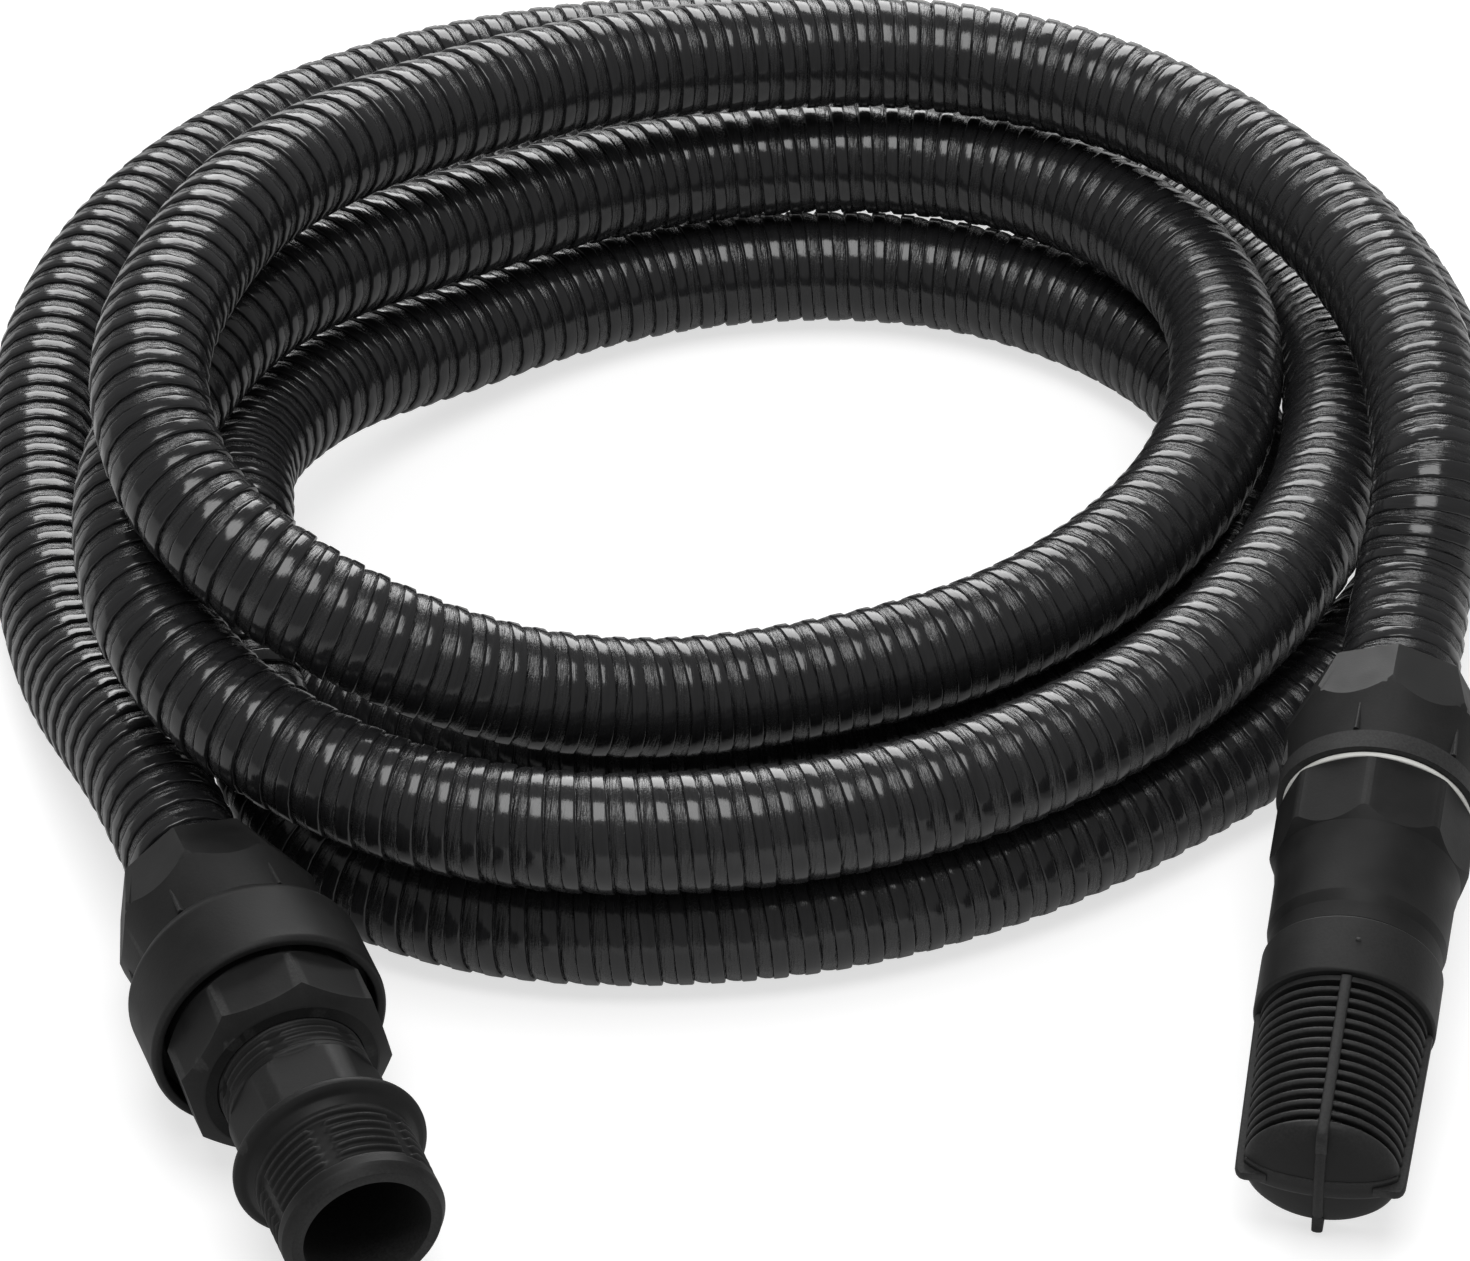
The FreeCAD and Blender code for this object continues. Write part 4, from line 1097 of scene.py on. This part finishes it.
@dataclass
class FootValve:
    """The foot valve: hose nut, pale seal, valve body, band and strainer basket."""

    axis: Axis
    seal_start: float = 31.1
    valve_start: float = 32.4
    valve_length: float = 40.5
    valve_flat: float = 19.0
    valve_turn: float = 27.0
    flat_length: float = 13.0
    band_start: float = 72.2
    band_length: float = 13.9
    mark_turn: float = 86.0
    cage_start: float = 86.2
    slots: int = 14
    slot: float = 1.2
    ring: float = 1.26
    cage_top: float = 16.7
    cage_end: float = 15.4
    spine_reach: float = 12.9
    dome_shoulder: float = 0.9
    dome: float = 4.6
    fin_width: float = 2.2
    strip_height: float = 0.8

    def seal(self) -> Shell:
        """The pale seal: a flat ring with rounded edges.

        Returns:
            The shell.
        """
        start = self.seal_start
        outline = [(15.3, start), (19.4, start), (19.4, start + 1.2), (15.3, start + 1.2)]
        return lathe(soften(outline, 0.4), SMALL)

    def valve(self) -> Shell:
        """The valve body: eight flats that end in arcs on a tapering round waist.

        Returns:
            The shell.
        """
        start, end = self.valve_start, self.valve_start + self.valve_length
        flats = start + self.flat_length
        outline = [
            (15.3, start), (19.0, start), (20.3, start + 0.7), (20.3, flats),
            (18.9, flats + 2.8), (18.7, flats + 4.6), (18.3, flats + 7.5), (18.2, flats + 14.0),
            (18.15, flats + 20.0), (17.6, flats + 22.6), (17.4, end - 1.2), (17.0, end - 0.8),
            (15.3, end - 0.8), (15.3, 64.9), (9.5, 64.9), (9.5, 61.9), (14.0, 61.9),
            (14.0, 45.4), (15.3, 45.4)]
        return lathe(outline, FACETED, range(1, 5), sides=8, phase=self.valve_turn,
                     flat=self.valve_flat)

    def band(self) -> Shell:
        """The band: a turned outline, with a small raised mark on top.

        Returns:
            The shell.
        """
        start, end = self.band_start, self.band_start + self.band_length
        outline = [
            (13.2, start - 6.0), (15.2, start - 6.0), (15.2, start), (17.8, start),
            (18.3, start + 0.4), (18.3, end - 0.5), (17.9, end), (13.2, end)]
        shell = lathe(soften(outline, 0.25), TURNED)
        out, over = directions(self.mark_turn)
        base = out * 17.9 + UP * (start + 6.0)
        mark = prism(rounded_box(1.5, 1.1, 0.3), np.array([base, over, UP]),
                     np.array([base + out * 0.75, over * 0.6, UP * 0.6]))
        return shell + mark

    def basket(self) -> Shell:
        """The basket: sleeve, rings, four spines, domed end and four fins with rounded edges.

        Returns:
            The shell.
        """
        start, step = self.cage_start, self.slot + self.ring
        sleeve = [(11.8, start - 4.0), (13.1, start - 4.0), (13.1, start), (16.7, start),
                  (16.7, start + self.ring), (11.8, start + self.ring)]
        shell = lathe(soften(sleeve, 0.2), SMALL)
        for k in range(1, self.slots):
            outer = self.cage_top + (self.cage_end - self.cage_top) * k / self.slots
            low, high = start + k * step, start + k * step + self.ring
            ring = [(13.9, low), (outer - 0.35, low), (outer, low + 0.3), (outer, high - 0.3),
                    (outer - 0.35, high), (13.9, high)]
            shell = shell + lathe(ring, SLENDER)
        comb_end = start + self.slots * step
        shoulder = comb_end + self.dome_shoulder
        end = self.cage_end
        cap = [(11.8, comb_end), (end - 0.3, comb_end), (end, comb_end + 0.3), (end, shoulder)]
        for turn in np.radians([12, 25, 38, 51, 64, 77]):
            cap.append((end * math.cos(turn), shoulder + self.dome * math.sin(turn)))
        cap += [(0.0, shoulder + self.dome), (0.0, comb_end + 2.0), (11.8, comb_end + 2.0)]
        shell = shell + lathe(cap, SLENDER)
        for k in range(4):
            shell = shell + self.spine_and_fin(90.0 * k, comb_end, shoulder)
        narrow = self.strip(90.0, self.fin_width, self.strip_height, shoulder)
        return shell + narrow + self.strip(0.0, 5.2, 0.3, shoulder)

    def strip(self, degrees: float, width: float, height: float, shoulder: float) -> Shell:
        """A strip that crosses the dome from one fin to the opposite one.

        Its top follows the dome at the strip's height above it; its section is a low arch.

        Args:
            degrees: direction of one of the fins.
            width: its width.
            height: how far it stands above the dome.
            shoulder: height where the dome begins.

        Returns:
            The shell.
        """
        out, over = directions(degrees)
        arch = np.array([(-0.5, -1.2), (-0.5, 0.3), (-0.36, 0.85), (0.0, 1.0), (0.36, 0.85),
                         (0.5, 0.3), (0.5, -1.2)])
        rows = []
        for slope in np.radians(np.linspace(14.0, 166.0, 23)):
            level, rise = math.cos(slope), math.sin(slope)
            foot = out * self.cage_end * level + UP * (shoulder + self.dome * rise)
            lift = out * level + UP * rise
            rows.append(foot + over * arch[:, :1] * width + lift * arch[:, 1:] * height)
        return loft(rows, rows[0].mean(axis=0), rows[-1].mean(axis=0))

    def spine_and_fin(self, degrees: float, comb_end: float, shoulder: float) -> Shell:
        """One spine inside the rings and the fin outside it, which ends in a rounded foot.

        Args:
            degrees: direction of the fin.
            comb_end: height of the last slot's end.
            shoulder: height where the dome begins.

        Returns:
            The shell: a box for the spine, and a plate with a rounded outer edge for the fin.
        """
        out, over = directions(degrees)
        spine = prism(rounded_box(3.4, 2.2, 0.3),
                      np.array([out * self.spine_reach + UP * self.cage_start, over, out]),
                      np.array([out * self.spine_reach + UP * (comb_end + 0.5), over, out]))
        # The fin is a bar whose section is a tall rounded slot; its inner edge lies in the cage.
        half = self.fin_width / 2
        start, end = self.cage_start, shoulder + self.dome - 0.6
        section = np.array([(-half, 0.0), (-half, 0.9), (-half * 0.7, 0.97), (0.0, 1.0),
                            (half * 0.7, 0.97), (half, 0.9), (half, 0.0)])
        rows = []
        for height, outer, inner in (
                (start + 0.2, 17.5, 13.2), (start + 0.7, 17.8, 13.2), (shoulder, 16.9, 13.2),
                (end - 1.6, 16.8, 12.0), (end - 0.8, 16.55, 11.0), (end - 0.2, 16.0, 10.5),
                (end, 15.2, 10.5)):
            reach = inner + (outer - inner) * section[:, 1:]
            rows.append(out * reach + over * section[:, :1] + UP * height)
        return spine + loft(rows, rows[0].mean(axis=0), rows[-1].mean(axis=0))

    def build(self) -> list[bpy.types.Object]:
        """Makes the foot valve's outer pieces.

        Returns:
            The pieces that lie on the hose's suction end.
        """
        piece = self.axis.piece
        return [
            HoseNut(self.axis, "suction_nut_moulded", "suction_hose_nut", "suction_nut",
                    facet_turn=22.5, grip_turn=46.0).build(),
            piece("pale_seal_moulded", self.seal(), "hose", "seal_ring", finish=Finish.SEAL,
                  slot="pale_seal"),
            piece("valve_body_moulded", self.valve(), "hose", "valve_body", edge=0.25),
            piece("strainer_band_moulded", self.band(), "strainer", "strainer_band"),
            piece("strainer_basket_moulded", self.basket(), "strainer", "strainer_basket")]


# CAD nodes that stay, by finish: pieces that show only inside, or where a nut has backed off.
KEPT = {
    Finish.INNER: ("pump_clamp_ring", "suction_clamp_ring", "stem_guide", "valve_poppet"),
    Finish.RUBBER: ("pump_hose_washer", "suction_hose_washer", "union_gasket", "poppet_seal"),
    Finish.FITTING: ("pump_hose_tail", "suction_hose_tail"),
    Finish.STEEL: ("valve_spring",),
}


def dress_kept_nodes() -> None:
    """Gives every CAD node that stays showing its finish."""
    for finish, names in KEPT.items():
        for name in names:
            materials = bpy.data.objects[name].data.materials
            materials.clear()
            materials.append(MATERIALS[finish])
            LOG.info("%s: %s", name, MATERIALS[finish].name)


# the studio

@dataclass
class Studio:
    """A white floor, softboxes behind and overhead and a long-lens camera."""

    eye: tuple[float, float, float] = (-1.08, -1178.03, 988.9)
    target: tuple[float, float, float] = (-1.08, 0.47, 0.0)
    frame_px: float = 1470.0
    focal_px: float = 7085.0
    sensor_mm: float = 36.0
    floor_reach: float = 6.0
    floor_glow: float = 0.18
    glow_to_camera: float = 0.50  # added to the floor's glow where the camera sees it
    surround: float = 0.26
    lit_point: tuple[float, float, float] = (0.0, 0.0, 0.03)

    def aim(self, thing: bpy.types.Object, place: np.ndarray, target: np.ndarray) -> None:
        """Puts a light or camera at a place and points it at a target.

        Args:
            thing: the light or camera.
            place: where it goes, metres.
            target: where it points, metres.
        """
        thing.location = [float(v) for v in place]
        way = Vector([float(v) for v in target - place])
        thing.rotation_euler = way.to_track_quat("-Z", "Y").to_euler()

    def camera(self) -> None:
        """Sets the camera: eye, target and focal length found from the photograph."""
        data = bpy.data.cameras.new("camera")
        data.sensor_fit = "HORIZONTAL"
        data.sensor_width = self.sensor_mm
        data.lens = self.focal_px / self.frame_px * self.sensor_mm
        data.clip_end = 50.0
        camera = link("camera", data)
        self.aim(camera, np.array(self.eye) * MM, np.array(self.target) * MM)
        bpy.context.scene.camera = camera

    def light(self, name: str, place: tuple[float, float, float], size: tuple[float, float],
              power: float) -> None:
        """Adds a rectangular light that faces the object.

        Args:
            name: its name.
            place: its middle, metres.
            size: width and height, metres.
            power: watts.
        """
        data = bpy.data.lights.new(name, "AREA")
        data.shape = "RECTANGLE"
        data.size, data.size_y = size
        data.energy = power
        self.aim(link(name, data), np.array(place), np.array(self.lit_point))

    def floor(self) -> None:
        """Lays a pale floor that takes shadows; to the camera a glow lifts it to white."""
        mesh = bpy.data.meshes.new("floor")
        corners = np.array([(-1, -1, 0), (1, -1, 0), (1, 1, 0), (-1, 1, 0)]) * self.floor_reach
        fill_mesh(mesh, corners, np.array([[0, 1, 2, 3]]))
        floor = link("floor", mesh)
        material, tree = new_material("white_sweep_paper")
        path = add_node(tree, "ShaderNodeLightPath")
        glow = add_node(tree, "ShaderNodeMath", {1: self.glow_to_camera, 2: self.floor_glow},
                        {0: path.outputs["Is Camera Ray"]}, operation="MULTIPLY_ADD")
        paper = add_node(tree, "ShaderNodeBsdfDiffuse", {"Color": linear("#bcbcbc")})
        white = add_node(tree, "ShaderNodeEmission", {"Color": linear("#ffffff")},
                         {"Strength": glow.outputs["Value"]})
        both = add_node(tree, "ShaderNodeAddShader",
                        links={0: paper.outputs["BSDF"], 1: white.outputs["Emission"]})
        add_node(tree, "ShaderNodeOutputMaterial", links={"Surface": both.outputs["Shader"]})
        mesh.materials.append(material)

    def world(self) -> None:
        """Makes a weak grey surround."""
        world = bpy.data.worlds.new("surround")
        world.use_nodes = True
        tree = world.node_tree
        tree.nodes.clear()
        back = add_node(tree, "ShaderNodeBackground",
                        {"Color": linear("#ffffff"), "Strength": self.surround})
        add_node(tree, "ShaderNodeOutputWorld", links={"Surface": back.outputs["Background"]})
        bpy.context.scene.world = world

    def build(self) -> None:
        """Sets up camera, floor, surround and lights."""
        self.camera()
        self.floor()
        self.world()
        self.light("softbox_back", (0.0, 1.5, 0.8), (1.3, 1.1), 25.0)
        self.light("softbox_top", (0.0, -0.3, 1.75), (1.1, 1.1), 19.0)
        bpy.context.scene.view_settings.view_transform = "Standard"


def main() -> None:
    """Builds the studio, the fittings and the hose."""
    logging.basicConfig(level=logging.INFO, format="%(message)s")
    Studio().build()
    pump = Axis(x=-108.3, y=-108.6, height=24.5, heading=-69.1, tilt=0.0)
    suction = Axis(x=137.2, y=-67.4, height=39.0, heading=-100.4, tilt=10.1)
    PumpEnd(pump).build()
    suction_pieces = FootValve(suction).build()
    dress_kept_nodes()
    Hose(pump, suction).build(suction_pieces)


if __name__ == "__main__":
    main()
